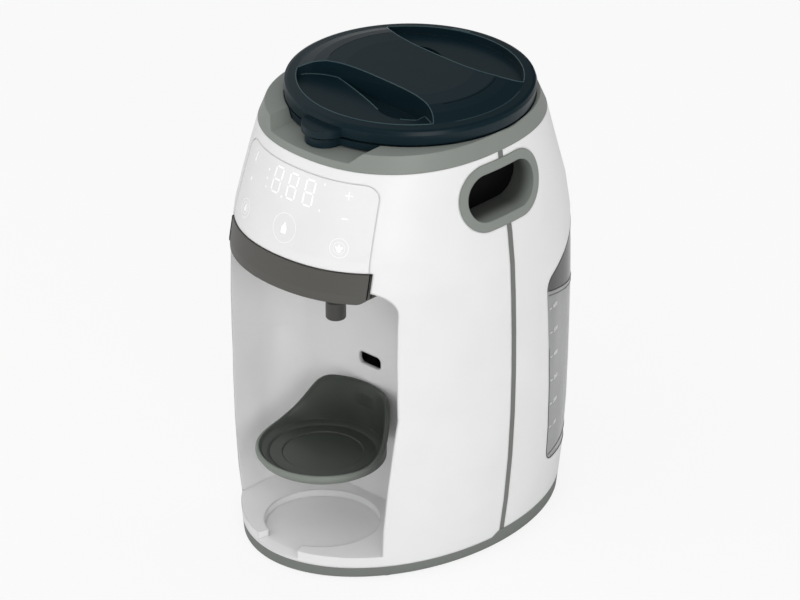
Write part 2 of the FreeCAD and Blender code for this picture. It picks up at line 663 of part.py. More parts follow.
def lid_edge(sign, grow=0.0):
    """Curved edge of the lid handle on one side, as (x, y) points from the lid centre."""
    points = []
    for x, y in ((-66.5, HANDLE_HALF_END), (-56.0, 34.5), (-30.0, HANDLE_HALF), (0.0, HANDLE_HALF),
                 (35.0, HANDLE_HALF + 3.0), (56.0, 38.0), (66.0, HANDLE_HALF_END)):
        points.append(V(sign * -x, AXIS_Y + sign * (y + grow), 0))
    return points


def pocket_prism(sign, grow, z0, z1):
    """Crescent of the finger pocket in front of the handle (sign -1) or behind it (sign 1)."""
    points = [V(-sign * x, AXIS_Y - sign * (y - grow), z0) for x, y in LID_POCKET_EDGE]
    points[0].x += sign * grow
    points[-1].x -= sign * grow
    edge = Part.BSplineCurve()
    edge.interpolate(points)
    inner_y = AXIS_Y + sign * (HANDLE_HALF - 12)
    first, last = V(points[0].x, inner_y, z0), V(points[-1].x, inner_y, z0)
    outline = Part.Wire([edge.toShape(), Part.makeLine(points[-1], last), Part.makeLine(last, first),
                         Part.makeLine(first, points[0])])
    return Part.Face(outline).extrude(V(0, 0, z1 - z0))


def lid():
    # dish with a raised middle; each side recess is a round segment behind a curved wall
    dome = turned([(0, LID_LOW_Z), (LID_R - 0.8, LID_LOW_Z), (LID_R, LID_RIM_Z - 3.5),
                   (LID_R - 1.0, LID_RIM_Z - 0.8), (LID_R - 3.0, LID_RIM_Z), (80.0, LID_RIM_Z + 0.8),
                   (70.0, LID_TOP_Z - 3.0), (60.0, LID_TOP_Z - 0.9), (45.0, LID_TOP_Z - 0.2),
                   (0, LID_TOP_Z)], 0, AXIS_Y)
    tab = rod(0, AXIS_Y - LID_R + LID_TAB_IN, LID_LOW_Z, LID_TAB_TOP_Z, LID_TAB_R)
    lid_solid = dome.fuse(tab)
    pocket_bowls, recesses, pockets = [], [], []
    for sign in (-1, 1):
        edge = Part.BSplineCurve()
        edge.interpolate(lid_edge(sign))
        start, end = edge.StartPoint, edge.EndPoint
        far = [V(end.x, AXIS_Y + sign * 120, 0), V(start.x, AXIS_Y + sign * 120, 0)]
        outline = Part.Wire([edge.toShape(), Part.makeLine(end, far[0]), Part.makeLine(far[0], far[1]),
                             Part.makeLine(far[1], start)])
        face = Part.Face(outline)
        side = face.extrude(V(0, 0, 40))
        side.translate(V(0, 0, LID_FLOOR_Z))
        recesses.append(side.common(rod(0, AXIS_Y, LID_FLOOR_Z, LID_TOP_Z + 5, LID_RIM_IN_R)))
        deep = face.extrude(V(0, 0, LID_FLOOR_Z - LID_POCKET_Z + 1))
        deep.translate(V(0, 0, LID_POCKET_Z))
        pockets.append(deep.common(pocket_prism(sign, 0.0, LID_POCKET_Z, LID_FLOOR_Z + 1)))
        pocket_bowls.append(pocket_prism(sign, LID_SKIN, LID_POCKET_Z - LID_SKIN, LID_FLOOR_Z - 1))
    # underside is hollow, leaving an even skin
    under = turned([(0, LID_LOW_Z - 1), (76.0, LID_LOW_Z - 1), (76.0, LID_FLOOR_Z - LID_SKIN),
                    (0, LID_FLOOR_Z - LID_SKIN)], 0, AXIS_Y)
    handle_room = turned([(0, LID_LOW_Z - 1), (66.0, LID_LOW_Z - 1), (66.0, LID_RIM_Z),
                          (55.0, LID_TOP_Z - 3.6), (0, LID_TOP_Z - 2.8)], 0, AXIS_Y)
    slot = box(-66, 66, AXIS_Y - HANDLE_HALF + 3.5, AXIS_Y + HANDLE_HALF - 3.5, LID_LOW_Z - 1, LID_TOP_Z)
    lid_solid = lid_solid.cut(under).fuse(pocket_bowls).cut(handle_room.common(slot))
    lid_solid = lid_solid.cut(recesses).cut(pockets)
    keep("powder_lid", lid_solid.removeSplitter())
    seal = turned([(SEAL_IN_R, 319.0), (SEAL_IN_R + 2.2, 319.0), (SEAL_IN_R + 2.2, FLANGE_TOP_Z + RUN_GAP),
                   (SEAL_OUT_R, FLANGE_TOP_Z + RUN_GAP), (SEAL_OUT_R, LID_LOW_Z - RUN_GAP),
                   (SEAL_IN_R, LID_LOW_Z - RUN_GAP)], 0, AXIS_Y)
    keep("lid_seal", seal)


# ---- funnel drawer -----------------------------------------------------------
def drawer():
    outline = front_prism([(-COVER_HALF_W, COVER_LOW_Z), (COVER_HALF_W, COVER_LOW_Z),
                           (COVER_HALF_W, COVER_HIGH_Z), (-COVER_HALF_W, COVER_HIGH_Z)],
                          [COVER_CORNER, COVER_CORNER, 0, 0], -FAR, -60)
    keep("funnel_cover", skin(outline, -COVER_PROUD, COVER_T - COVER_PROUD))
    plate_low = COVER_LOW_Z
    inner = body_loft(COVER_T - COVER_PROUD + FIT)
    half = DRAWER_HALF_W
    plate = box(-half, half, -FAR, DRAWER_BACK_Y, plate_low, plate_low + DRAWER_PLATE_T)
    walls = [box(s * half - (2.5 if s > 0 else 0), s * half + (0 if s > 0 else 2.5), -FAR, DRAWER_BACK_Y,
                 plate_low, 240) for s in (-1, 1)]
    back = box(-half, half, DRAWER_BACK_Y - 1.5, DRAWER_BACK_Y, plate_low, 235)
    runners = [box(*sorted((s * half, s * (half + 3.0))), -105, DRAWER_BACK_Y, 237.6, 240) for s in (-1, 1)]
    tray = plate.fuse(walls + [back] + runners).common(inner)
    slope = (FUNNEL_TOP_R - SPOUT_BORE_R) / (FUNNEL_TOP_Z - FUNNEL_NECK_Z)
    hole_r = SPOUT_BORE_R + slope * (plate_low + DRAWER_PLATE_T - FUNNEL_NECK_Z) + FUNNEL_WALL + 0.6
    collar_ring = ring(0, FUNNEL_Y, plate_low, FUNNEL_TOP_Z - 2, FUNNEL_TOP_R + 2.4, FUNNEL_TOP_R + 4.4)
    tray = tray.fuse(collar_ring).cut(rod(0, FUNNEL_Y, plate_low - 1, plate_low + 5, hole_r))
    keep("funnel_tray", tray.removeSplitter())
    funnel = turned([
        (SPOUT_BORE_R, SPOUT_LOW_Z + 1), (SPOUT_BORE_R, FUNNEL_NECK_Z), (FUNNEL_TOP_R, FUNNEL_TOP_Z),
        (FUNNEL_TOP_R + 4.4, FUNNEL_TOP_Z), (FUNNEL_TOP_R + 4.4, FUNNEL_TOP_Z - 2),
        (FUNNEL_TOP_R + 1.2, FUNNEL_TOP_Z - 2), (SPOUT_BORE_R + 1.2, FUNNEL_NECK_Z - 1.5),
        (SPOUT_BORE_R + 1.2, SPOUT_LOW_Z + 1)], 0, FUNNEL_Y)
    keep("mixing_funnel", funnel)
    spout = turned([
        (SPOUT_BORE_R + 1.2, SPOUT_LOW_Z + 1), (SPOUT_BORE_R, SPOUT_LOW_Z + 1), (SPOUT_BORE_R, SPOUT_LOW_Z),
        (SPOUT_R - 0.5, SPOUT_LOW_Z), (SPOUT_R, SPOUT_LOW_Z + 0.8), (SPOUT_R, SPOUT_LOW_Z + 13),
        (SPOUT_R - 0.8, SPOUT_LOW_Z + 14), (SPOUT_R - 0.8, SPOUT_HIGH_Z), (SPOUT_BORE_R + 1.2, SPOUT_HIGH_Z)],
        0, FUNNEL_Y)
    keep("funnel_spout", spout)
    side = DRAWER_HALF_W + 3.0 + 0.5
    out = COVER_HALF_W + COVER_GAP + GUIDE_T
    low = BAY_TOP_Z + WALL
    walls = []
    for s in (-1, 1):
        plate = box(*sorted((s * side, s * out)), -100, BAY_BACK_Y + WALL, low, GUIDE_TOP_Z)
        rail = box(*sorted((s * (DRAWER_HALF_W + 0.5), s * side)), -100, DRAWER_BACK_Y + 2,
                   234.5, 237.6 - RUN_GAP)
        walls += [plate, rail]
    rear = box(-out, out, BAY_BACK_Y, BAY_BACK_Y + GUIDE_T, low, GUIDE_TOP_Z)
    guide = rear.fuse(walls).common(body_loft(WALL + FIT, INNER_BANDS))
    tube_notch = box(HEATER_X - TUBE_R - 1, HEATER_X + TUBE_R + 1, DRAWER_BACK_Y, 0, 238, 260)
    keep("funnel_guide", guide.cut(tube_notch).removeSplitter())


# ---- bottle stand ------------------------------------------------------------
def bottle_stand():
    mid = BAY_BACK_Y - RUN_GAP - STAND_R
    low, floor, rim = STAND_LOW_Z, STAND_FLOOR_Z, STAND_RIM_Z
    r, w = STAND_R, STAND_WALL
    dish = turned([(0, low), (r - 14, low), (r - 6, low + 2.2), (r - 1.5, low + 4.6), (r, low + 6.2),
                   (r, rim - 1.2), (r - 1.1, rim), (r - w, rim), (r - w - 1.2, rim - 1), (r - w - 2.0, rim - 3.8),
                   (r - 6.8, floor + 1.6), (r - 8.8, floor + 1.6), (r - 9.6, floor + 0.8),
                   (r - 18.5, floor + 0.8), (r - 19.5, floor), (0, floor)], 0, mid)
    wall = turned([(r - w, rim - 2), (r, rim - 2), (r, STAND_BACK_Z + 4), (r - w, STAND_BACK_Z + 4)], 0, mid)
    # the rim climbs to the back along a large arc
    run, rise = r, STAND_BACK_Z - rim
    sweep_r = (run * run + rise * rise) / (2 * rise)
    climb = Part.makeCylinder(sweep_r, 2 * FAR, V(-FAR, mid, rim + sweep_r), V(1, 0, 0))
    above_front = box(-FAR, FAR, -FAR, mid, rim, rim + 100)
    above_back = climb.common(box(-FAR, FAR, mid, 0, rim, rim + 100))
    wall = wall.cut([above_front, above_back])
    half, low_z, high_z = TONGUE_HALF_W, SLOT_Z[0] - TONGUE_H / 2, SLOT_Z[0] + TONGUE_H / 2
    tongue = front_prism([(-half, low_z), (half, low_z), (half, high_z), (-half, high_z)],
                         [TONGUE_R] * 4, mid + r - 1.5, BAY_BACK_Y + TONGUE_LEN)
    keep("bottle_stand", dish.fuse([wall, tongue]).removeSplitter())


# ---- inside ------------------------------------------------------------------
def inside():
    y0 = BAY_BACK_Y + WALL + 0.6
    half, back = FRAME_HALF_X, FRAME_BACK_Y
    foot = FOOT_H + BASE_FLOOR
    distance = GEAR_MODULE * (WHEEL_TEETH + PINION_TEETH) / 2
    deck = box(-half, half, y0, back, DECK_Z, DECK_Z + DECK_T)
    legs = [box(*sorted((s * half, s * (half - FRAME_LEG_T))), y0, back, foot, DECK_Z) for s in (-1, 1)]
    frame = deck.fuse(legs)
    frame = frame.cut(rod(distance, AXIS_Y, DECK_Z - 1, DECK_Z + 5, 6.3))
    frame = frame.cut(box(HEATER_X - TUBE_R - 1.2, HEATER_X + TUBE_R + 1.2, HEATER_Y - HOSE_BEND - 3,
                          HEATER_Y + TUBE_R + 1.2, DECK_Z - 1, DECK_Z + DECK_T + 1))
    for s in (-1, 1):
        frame = frame.cut(box(*sorted((s * 50, s * 80)), y0 + 14, back - 12, 60, 180))
    keep("inner_frame", frame.removeSplitter())

    heater = rod(HEATER_X, HEATER_Y, HEATER_LOW_Z, HEATER_HIGH_Z, HEATER_R)
    heater = heater.fuse([
        rod(HEATER_X, HEATER_Y, HEATER_HIGH_Z, HEATER_HIGH_Z + 8, 5),
        rod(HEATER_X, HEATER_Y, foot, HEATER_LOW_Z, 8),
        Part.makeCylinder(5, HEATER_R + 7, V(HEATER_X, HEATER_Y, PORT_Z), V(1, 0, 0)),
        box(-half + FRAME_LEG_T, HEATER_X, HEATER_Y - 3, HEATER_Y + 3, 46, 54)])
    keep("water_heater", heater.removeSplitter())

    pump = box(PUMP_X - 16, PUMP_X + 16, PUMP_Y - 14, PUMP_Y + 14, foot, 34)
    side_port, back_port = PUMP_Y + 20, 22
    pump = pump.fuse([
        rod(PUMP_X, PUMP_Y, 34, 62, 13),
        rod(PUMP_X, PUMP_Y, 62, 66, 5),
        Part.makeCylinder(4.6, 20, V(PUMP_X - 20, PUMP_Y, PORT_Z), V(1, 0, 0)),
        Part.makeCylinder(4.6, 9, V(PUMP_X - 4, side_port, back_port), V(1, 0, 0)),
        box(PUMP_X - 3, PUMP_X + 4, PUMP_Y + 13, side_port, back_port - 4, back_port + 4)])
    keep("water_pump", pump.removeSplitter())

    # hoses: socket to pump, pump to heater, heater to funnel
    keep("suction_tube", tube([V(0, SOCKET_Y, VALVE_Z), V(0, side_port, VALVE_Z), V(0, side_port, back_port),
                               V(PUMP_X - 4, side_port, back_port)], 6.5, TUBE_R, TUBE_BORE_R))
    keep("pump_tube", tube([V(HEATER_X + HEATER_R + 7, HEATER_Y, PORT_Z), V(PUMP_X - 20, PUMP_Y, PORT_Z)],
                           0, TUBE_R, TUBE_BORE_R))
    keep("dosing_tube", tube([V(HEATER_X, HEATER_Y, HEATER_HIGH_Z + 8), V(HEATER_X, HEATER_Y, HOSE_Z),
                              V(HEATER_X, -50, HOSE_Z)], HOSE_BEND, TUBE_R, TUBE_BORE_R))

    board = box(-46, 46, BAY_BACK_Y + WALL + 4, BAY_BACK_Y + WALL + 5.6, 140, 215)
    board = board.fuse([box(-34, -16, BAY_BACK_Y + WALL + 5.6, BAY_BACK_Y + WALL + 17, 185, 208),
                        box(4, 30, BAY_BACK_Y + WALL + 5.6, BAY_BACK_Y + WALL + 9, 150, 172)])
    for x in (-40, 40):
        for z in (146, 209):
            board = board.fuse(Part.makeCylinder(3, 4, V(x, BAY_BACK_Y + WALL, z), V(0, 1, 0)))
    keep("main_board", board.removeSplitter())


# ---- tank and back -----------------------------------------------------------
def tank():
    outer = body_loft(TANK_SINK).common(tank_form(0.0))
    inner = body_loft(TANK_SINK + TANK_WALL, INNER_BANDS).common(tank_form(-TANK_WALL))
    shell = outer.cut(inner)
    below = side_prism([(0, 0), (FAR, 0), (FAR, TANK_STEP_REAR_Z), (130, TANK_STEP_REAR_Z),
                        (TANK_FRONT_HIGH_Y, TANK_STEP_FRONT_Z), (0, TANK_STEP_FRONT_Z)], [0] * 6, -FAR, FAR)
    along = V(0, 1, 0)
    nipple = Part.makeCylinder(VALVE_R, 12, V(0, VALVE_FRONT_Y, VALVE_Z), along)
    bore = Part.makeCylinder(VALVE_BORE_R, 20, V(0, VALVE_FRONT_Y + 2, VALVE_Z), along)
    keep("water_tank", shell.common(below).cut(bore))
    keep("tank_lid", shell.cut(below))
    # the valve's plunger closes its front end while the tank is off
    keep("tank_valve", nipple.cut(outer).cut(bore))
    socket = Part.makeCylinder(VALVE_R + 3.0, 11, V(0, SOCKET_Y, VALVE_Z), along)
    socket = socket.cut(Part.makeCylinder(VALVE_R + RUN_GAP, 12, V(0, VALVE_FRONT_Y - RUN_GAP, VALVE_Z), along))
    socket = socket.cut(Part.makeCylinder(TUBE_BORE_R, 12, V(0, SOCKET_Y - 1, VALVE_Z), along))
    keep("tank_socket", socket)


def back_and_foot():
    mid_z = (INLET_Z[0] + INLET_Z[1]) / 2
    face = back_y(mid_z) - INLET_SINK
    inlet = box(-INLET_HALF_W, INLET_HALF_W, face - INLET_DEPTH, face, INLET_Z[0], INLET_Z[1])
    inlet = inlet.common(OUTER)
    well = box(-WELL_HALF_W, WELL_HALF_W, face - WELL_DEPTH, FAR, mid_z - WELL_HALF_H, mid_z + WELL_HALF_H)
    inlet = inlet.cut(well)
    for x in (-PIN_X, PIN_X):
        inlet = inlet.fuse(Part.makeCylinder(PIN_R, PIN_L, V(x, face - WELL_DEPTH - 1, mid_z), V(0, 1, 0)))
    keep("power_inlet", inlet.removeSplitter())
    feet = [rod(sx * FOOT_X, sy * FOOT_Y, 0, FOOT_H, FOOT_R) for sx in (-1, 1) for sy in (-1, 1)]
    keep("rubber_feet", Part.makeCompound(feet))


def main():
    housing()
    grips()
    control_panel()
    collar()
    container()
    drive()
    lid()
    drawer()
    bottle_stand()
    inside()
    tank()
    back_and_foot()
    for name, shape in PARTS.items():
        solids = shape.Solids
        print("%-18s solids %d valid %s volume %.0f" % (name, len(solids), shape.isValid(), shape.Volume))
        out = solids[0] if len(solids) == 1 else Part.makeCompound(solids)
        out.exportStep("parts/" + name + ".step")


main()
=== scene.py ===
# %% [markdown]
# Baby formula maker, as a lesson in cells. The machine stands on a counter with its front
# towards -Y: a white moulded body, a bay for the bottle, a dark powder lid on top and a smoked
# water tank at the back. The imported CAD model is loaded first, because every piece made here
# has to sit on it and move with it.

# %% Load the frame
import math
import bmesh
import bpy
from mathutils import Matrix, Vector
from mathutils.bvhtree import BVHTree

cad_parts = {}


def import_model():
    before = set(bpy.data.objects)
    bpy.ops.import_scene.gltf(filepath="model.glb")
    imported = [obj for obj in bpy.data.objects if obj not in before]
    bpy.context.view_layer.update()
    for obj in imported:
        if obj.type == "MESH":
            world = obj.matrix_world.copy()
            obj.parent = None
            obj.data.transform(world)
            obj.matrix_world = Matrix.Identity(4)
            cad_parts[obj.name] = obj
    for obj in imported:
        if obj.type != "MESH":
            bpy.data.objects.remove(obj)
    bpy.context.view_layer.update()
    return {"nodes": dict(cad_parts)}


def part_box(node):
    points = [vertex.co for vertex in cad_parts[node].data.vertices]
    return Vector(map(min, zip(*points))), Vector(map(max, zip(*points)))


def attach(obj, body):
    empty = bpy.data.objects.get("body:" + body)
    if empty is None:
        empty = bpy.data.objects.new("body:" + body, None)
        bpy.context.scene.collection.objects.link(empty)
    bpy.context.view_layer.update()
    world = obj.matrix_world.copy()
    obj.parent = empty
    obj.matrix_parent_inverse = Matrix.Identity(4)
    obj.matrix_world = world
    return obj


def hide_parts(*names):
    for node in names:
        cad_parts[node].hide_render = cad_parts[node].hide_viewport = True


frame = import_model()
NODES = frame["nodes"]
MM = 0.001
print("loaded", len(NODES), "nodes")

# %% [markdown]
# Every finish below starts from a named pigment and Blender's Principled shader. Pigments are
# easiest to judge as screen values, but a shader works with linear light, so one helper turns
# the first into the second. Two more start a material and add a node for one operation.

# %% Helpers for materials


def srgb(r, g, b):
    """Linear colour from 0-255 screen values."""
    out = []
    for v in (r, g, b):
        v = v / 255.0
        out.append(v / 12.92 if v <= 0.04045 else ((v + 0.055) / 1.055) ** 2.4)
    return (*out, 1.0)


def new_material(name):
    """A new material, its node tree and its Principled shader."""
    mat = bpy.data.materials.new(name)
    mat.use_nodes = True
    return mat, mat.node_tree, mat.node_tree.nodes["Principled BSDF"]


def math_node(tree, operation, vector=False):
    """A Math or Vector Math node that does one operation."""
    node = tree.nodes.new("ShaderNodeVectorMath" if vector else "ShaderNodeMath")
    node.operation = operation
    return node


print("white 240 is", round(srgb(240, 240, 240)[0], 3), "in linear light")

# %% [markdown]
# Moulded plastic is rarely one flat colour. A maker sees a fine spark-eroded grain, a little
# unevenness in the pigment and edges that are never quite sharp. An image could carry that, but
# it would blur close up. Noise in the object's own coordinates stays crisp at any distance, so
# all plastics share one function: clouds in the pigment, a very fine bump, and a Bevel node
# that rounds the shading of the edges.

# %% Moulded plastic
CLOUD_SCALE = 18.0              # clouds per metre, so one is about 55 mm across
CLOUD_STOPS = (0.3, 0.7)
GRAIN_SIZE, GRAIN_DEPTH = 0.35, 0.02
BEVEL_SAMPLES = 4


def plastic(name, colour, rough, grain=0.15, mottle=0.02, shine=0.5, edge=0.5):
    """Moulded plastic: grain is the bump's strength, edge the rounding of the shading in mm."""
    mat, tree, shader = new_material(name)
    shader.inputs["Roughness"].default_value = rough
    shader.inputs["Specular IOR Level"].default_value = shine
    place = tree.nodes.new("ShaderNodeTexCoord")
    cloud = tree.nodes.new("ShaderNodeTexNoise")
    cloud.inputs["Scale"].default_value = CLOUD_SCALE
    cloud.inputs["Detail"].default_value = 2.0
    tree.links.new(place.outputs["Object"], cloud.inputs["Vector"])
    ramp = tree.nodes.new("ShaderNodeValToRGB")
    for i, change in enumerate((1 - mottle, 1 + mottle)):
        stop = ramp.color_ramp.elements[i]
        stop.position = CLOUD_STOPS[i]
        stop.color = tuple(min(1.0, c * change) for c in colour[:3]) + (1.0,)
    tree.links.new(cloud.outputs["Fac"], ramp.inputs["Fac"])
    tree.links.new(ramp.outputs["Color"], shader.inputs["Base Color"])
    soft = tree.nodes.new("ShaderNodeBevel")
    soft.samples = BEVEL_SAMPLES
    soft.inputs["Radius"].default_value = edge * MM
    tree.links.new(soft.outputs["Normal"], shader.inputs["Normal"])
    if grain > 0:
        noise = tree.nodes.new("ShaderNodeTexNoise")
        noise.inputs["Scale"].default_value = 1.0 / (GRAIN_SIZE * MM)
        noise.inputs["Detail"].default_value = 1.0
        tree.links.new(place.outputs["Object"], noise.inputs["Vector"])
        bump = tree.nodes.new("ShaderNodeBump")
        bump.inputs["Strength"].default_value = grain
        bump.inputs["Distance"].default_value = GRAIN_DEPTH * MM
        tree.links.new(noise.outputs["Fac"], bump.inputs["Height"])
        tree.links.new(soft.outputs["Normal"], bump.inputs["Normal"])
        tree.links.new(bump.outputs["Normal"], shader.inputs["Normal"])
    return mat


WHITE = plastic("satin_white_housing", srgb(240, 240, 240), 0.38, edge=2.2)
PANEL_WHITE = plastic("smooth_white_panel", srgb(240, 240, 240), 0.22, grain=0.03)
BASE_GREY = plastic("foot_band_grey", srgb(119, 123, 119), 0.5)
TRIM_GREY = plastic("seam_grey", srgb(117, 119, 116), 0.5)
COLLAR_GREY = plastic("collar_grey", srgb(137, 142, 137), 0.45, edge=1.0)
HOPPER_GREY = plastic("container_grey", srgb(128, 133, 129), 0.45)
LID_DARK = plastic("lid_blue_black", srgb(18, 37, 44), 0.3, grain=0.05, shine=0.2, edge=0.8)
FUNNEL_GREY = plastic("funnel_warm_grey", srgb(82, 81, 77), 0.42)
SPOUT_GREY = plastic("spout_dark_grey", srgb(70, 69, 66), 0.42)
STAND_DARK = plastic("stand_dark_grey", srgb(60, 65, 60), 0.4, grain=0.05, edge=0.8)
BLACK = plastic("deep_black", srgb(6, 7, 7), 0.6, shine=0.15)
INNER_WHITE = plastic("inner_white", srgb(224, 224, 220), 0.5)
GEAR_WHITE = plastic("gear_cream", srgb(226, 223, 212), 0.4)
CIRCUIT = plastic("circuit_green", srgb(28, 92, 52), 0.35, grain=0.0)
RUBBER = plastic("foot_rubber", srgb(40, 40, 40), 0.8, grain=0.3)
SILICONE = plastic("silicone_hose", srgb(214, 214, 208), 0.45, grain=0.0)
print("nodes in a grained plastic", len(WHITE.node_tree.nodes))

# %% [markdown]
# The grips are hollows in grey bezels, and the stand's lip runs back into the bay. Little light
# gets in there, so the same pigment looks darker the deeper it lies. Soft studio light fills such
# hollows, so the shade is painted in: the pigment is dimmed by its distance from the machine's
# middle, in the object's own coordinates, so the painted shade travels with the piece.

# %% Plastic with painted shade inwards


def shaded_inside(name, colour, axis, start, end, keep, lean=0.0, edge=1.2):
    """Plastic with painted shade: a share of its colour up to start mm from the middle, and all at end."""
    mat = plastic(name, colour, 0.45, edge=edge)
    tree = mat.node_tree
    split = tree.nodes.new("ShaderNodeSeparateXYZ")
    tree.links.new(tree.nodes["Texture Coordinate"].outputs["Object"], split.inputs["Vector"])
    size = math_node(tree, "ABSOLUTE")
    tree.links.new(split.outputs[axis], size.inputs[0])
    sloped = math_node(tree, "MULTIPLY_ADD")
    sloped.inputs[1].default_value = lean
    tree.links.new(split.outputs["Z"], sloped.inputs[0])
    tree.links.new(size.outputs["Value"], sloped.inputs[2])
    fade = tree.nodes.new("ShaderNodeMapRange")
    fade.interpolation_type = "SMOOTHSTEP"
    fade.inputs["From Min"].default_value = start * MM
    fade.inputs["From Max"].default_value = end * MM
    fade.inputs["To Min"].default_value = keep
    tree.links.new(sloped.outputs["Value"], fade.inputs["Value"])
    dim = math_node(tree, "SCALE", vector=True)
    tree.links.new(tree.nodes["Color Ramp"].outputs["Color"], dim.inputs[0])
    tree.links.new(fade.outputs["Result"], dim.inputs["Scale"])
    tree.links.new(dim.outputs["Vector"], tree.nodes["Principled BSDF"].inputs["Base Color"])
    return mat


# The grip bezels' grey is dimmed towards the inside of the grip: painted shade.
GRIP_GREY_PAINTED_SHADE = shaded_inside("grip_grey_painted_shade", srgb(137, 142, 137), "X", 139.0, 151.5, 0.28, lean=0.2)
# The stand's lip is paler than the stand, a painted highlight, dimmed towards the back by painted shade.
STAND_LIP_PAINTED_LIGHT = shaded_inside("stand_lip_painted_light", srgb(128, 134, 127), "Y", 60.0, 116.0, 0.26, edge=0.5)
print("shaded", GRIP_GREY_PAINTED_SHADE.name, STAND_LIP_PAINTED_LIGHT.name)

# %% [markdown]
# Bare metal is rare on a kitchen machine: the motor, the heater and the shaft inside, the inlet's
# pins and the foot screws. Turned steel isn't evenly shiny. A bump would make it look rough, so
# a fine noise varies the roughness alone and leaves the surface smooth.

# %% Steel
STEEL_GRAIN_SCALE = 900.0
STEEL_UNEVEN = 0.2


def metal(name, colour, rough):
    """Metal whose roughness wanders by a fifth to either side."""
    mat, tree, shader = new_material(name)
    shader.inputs["Metallic"].default_value = 1.0
    shader.inputs["Base Color"].default_value = colour
    place = tree.nodes.new("ShaderNodeTexCoord")
    grain = tree.nodes.new("ShaderNodeTexNoise")
    grain.inputs["Scale"].default_value = STEEL_GRAIN_SCALE
    tree.links.new(place.outputs["Object"], grain.inputs["Vector"])
    spread = tree.nodes.new("ShaderNodeMapRange")
    spread.inputs["To Min"].default_value = rough * (1 - STEEL_UNEVEN)
    spread.inputs["To Max"].default_value = rough * (1 + STEEL_UNEVEN)
    tree.links.new(grain.outputs["Fac"], spread.inputs["Value"])
    tree.links.new(spread.outputs["Result"], shader.inputs["Roughness"])
    return mat


STEEL = metal("brushed_motor_steel", srgb(190, 190, 186), 0.35)
print("metal", STEEL.name)

# %% [markdown]
# The water tank is smoked clear plastic: a little light goes through, and thick walls show what
# is behind them as tall soft streaks. Full glass would need many light bounces and show the
# bare inside of the model. So only part of the light is let through, and the rest of the look
# is a pigment whose clouds are stretched upwards.

# %% Smoked plastic
SMOKE_ROUGH, SMOKE_IOR = 0.08, 1.5
STREAK_SCALE = 13.0
STREAK_SHAPE = (1.6, 1.6, 0.22)     # a small share in Z makes the clouds tall


def smoked(name, clear, light, dark):
    """Smoked plastic that lets through a share of the light, with streaks from dark to light."""
    mat = plastic(name, dark, SMOKE_ROUGH, grain=0.0)
    tree = mat.node_tree
    shader = tree.nodes["Principled BSDF"]
    shader.inputs["Transmission Weight"].default_value = clear
    shader.inputs["IOR"].default_value = SMOKE_IOR
    cloud = tree.nodes["Noise Texture"]
    stretch = math_node(tree, "MULTIPLY", vector=True)
    stretch.inputs[1].default_value = STREAK_SHAPE
    tree.links.new(tree.nodes["Texture Coordinate"].outputs["Object"], stretch.inputs[0])
    tree.links.new(stretch.outputs["Vector"], cloud.inputs["Vector"])
    cloud.inputs["Scale"].default_value = STREAK_SCALE
    stops = tree.nodes["Color Ramp"].color_ramp.elements
    stops[0].color, stops[1].color = dark, light
    return mat


TANK_SMOKE = smoked("tank_smoke", 0.3, srgb(206, 208, 207), srgb(132, 134, 133))
TANK_DARK = smoked("tank_dark_smoke", 0.12, srgb(90, 92, 91), srgb(30, 32, 31))
print("smoked", TANK_SMOKE.name, TANK_DARK.name)

# %% [markdown]
# Each CAD node is a moulding, a bought part or a set of alike ones, and has one finish. A table
# from node to finish is the plainest way to say that, and a node that is missing from it stops
# the script at once. Shading is smooth except across edges steeper than the angle below.

# %% Dress the CAD nodes
EDGE_ANGLE = 32
DRESS = {
    "front_shell": WHITE, "rear_shell": WHITE, "control_panel": PANEL_WHITE,
    "base_pan": BASE_GREY, "top_collar": COLLAR_GREY,
    "seam_strip_left": TRIM_GREY, "seam_strip_right": TRIM_GREY,
    "grip_bezel_left": GRIP_GREY_PAINTED_SHADE, "grip_bezel_right": GRIP_GREY_PAINTED_SHADE,
    "grip_pocket_left": BLACK, "grip_pocket_right": BLACK,
    "powder_container": HOPPER_GREY, "container_base": HOPPER_GREY,
    "container_rim": LID_DARK, "powder_lid": LID_DARK, "lid_seal": SILICONE,
    "metering_wheel": INNER_WHITE, "stirrer": INNER_WHITE,
    "wheel_shaft": STEEL, "wheel_gear": GEAR_WHITE, "drive_pinion": GEAR_WHITE, "gear_motor": STEEL,
    "funnel_cover": FUNNEL_GREY, "funnel_tray": FUNNEL_GREY, "mixing_funnel": FUNNEL_GREY,
    "funnel_spout": SPOUT_GREY, "funnel_guide": INNER_WHITE, "inner_frame": INNER_WHITE,
    "bottle_stand": STAND_DARK, "water_tank": TANK_SMOKE, "tank_lid": TANK_DARK,
    "tank_valve": BLACK, "tank_socket": BLACK, "water_pump": BLACK, "water_heater": STEEL,
    "suction_tube": SILICONE, "pump_tube": SILICONE, "dosing_tube": SILICONE,
    "display_board": CIRCUIT, "main_board": CIRCUIT, "power_inlet": BLACK, "rubber_feet": RUBBER,
}
for name, node in NODES.items():
    node.data.materials.clear()
    node.data.materials.append(DRESS[name])
    node.data.shade_smooth()
    node.data.set_sharp_from_angle(angle=math.radians(EDGE_ANGLE))
print("dressed", len(DRESS), "nodes")

# %% [markdown]
# The stage is a plain pale counter. A lit floor alone would look grey at its edges, and more
# light would wash out the machine. So part of what the camera sees of the floor is its own
# glow, which lights nothing and leaves the machine's shadow.

# %% Floor
FLOOR_HALF = 12.0
FLOOR_COLOUR, FLOOR_ROUGH, FLOOR_GLOW = (0.86, 0.86, 0.86, 1), 0.9, 0.85


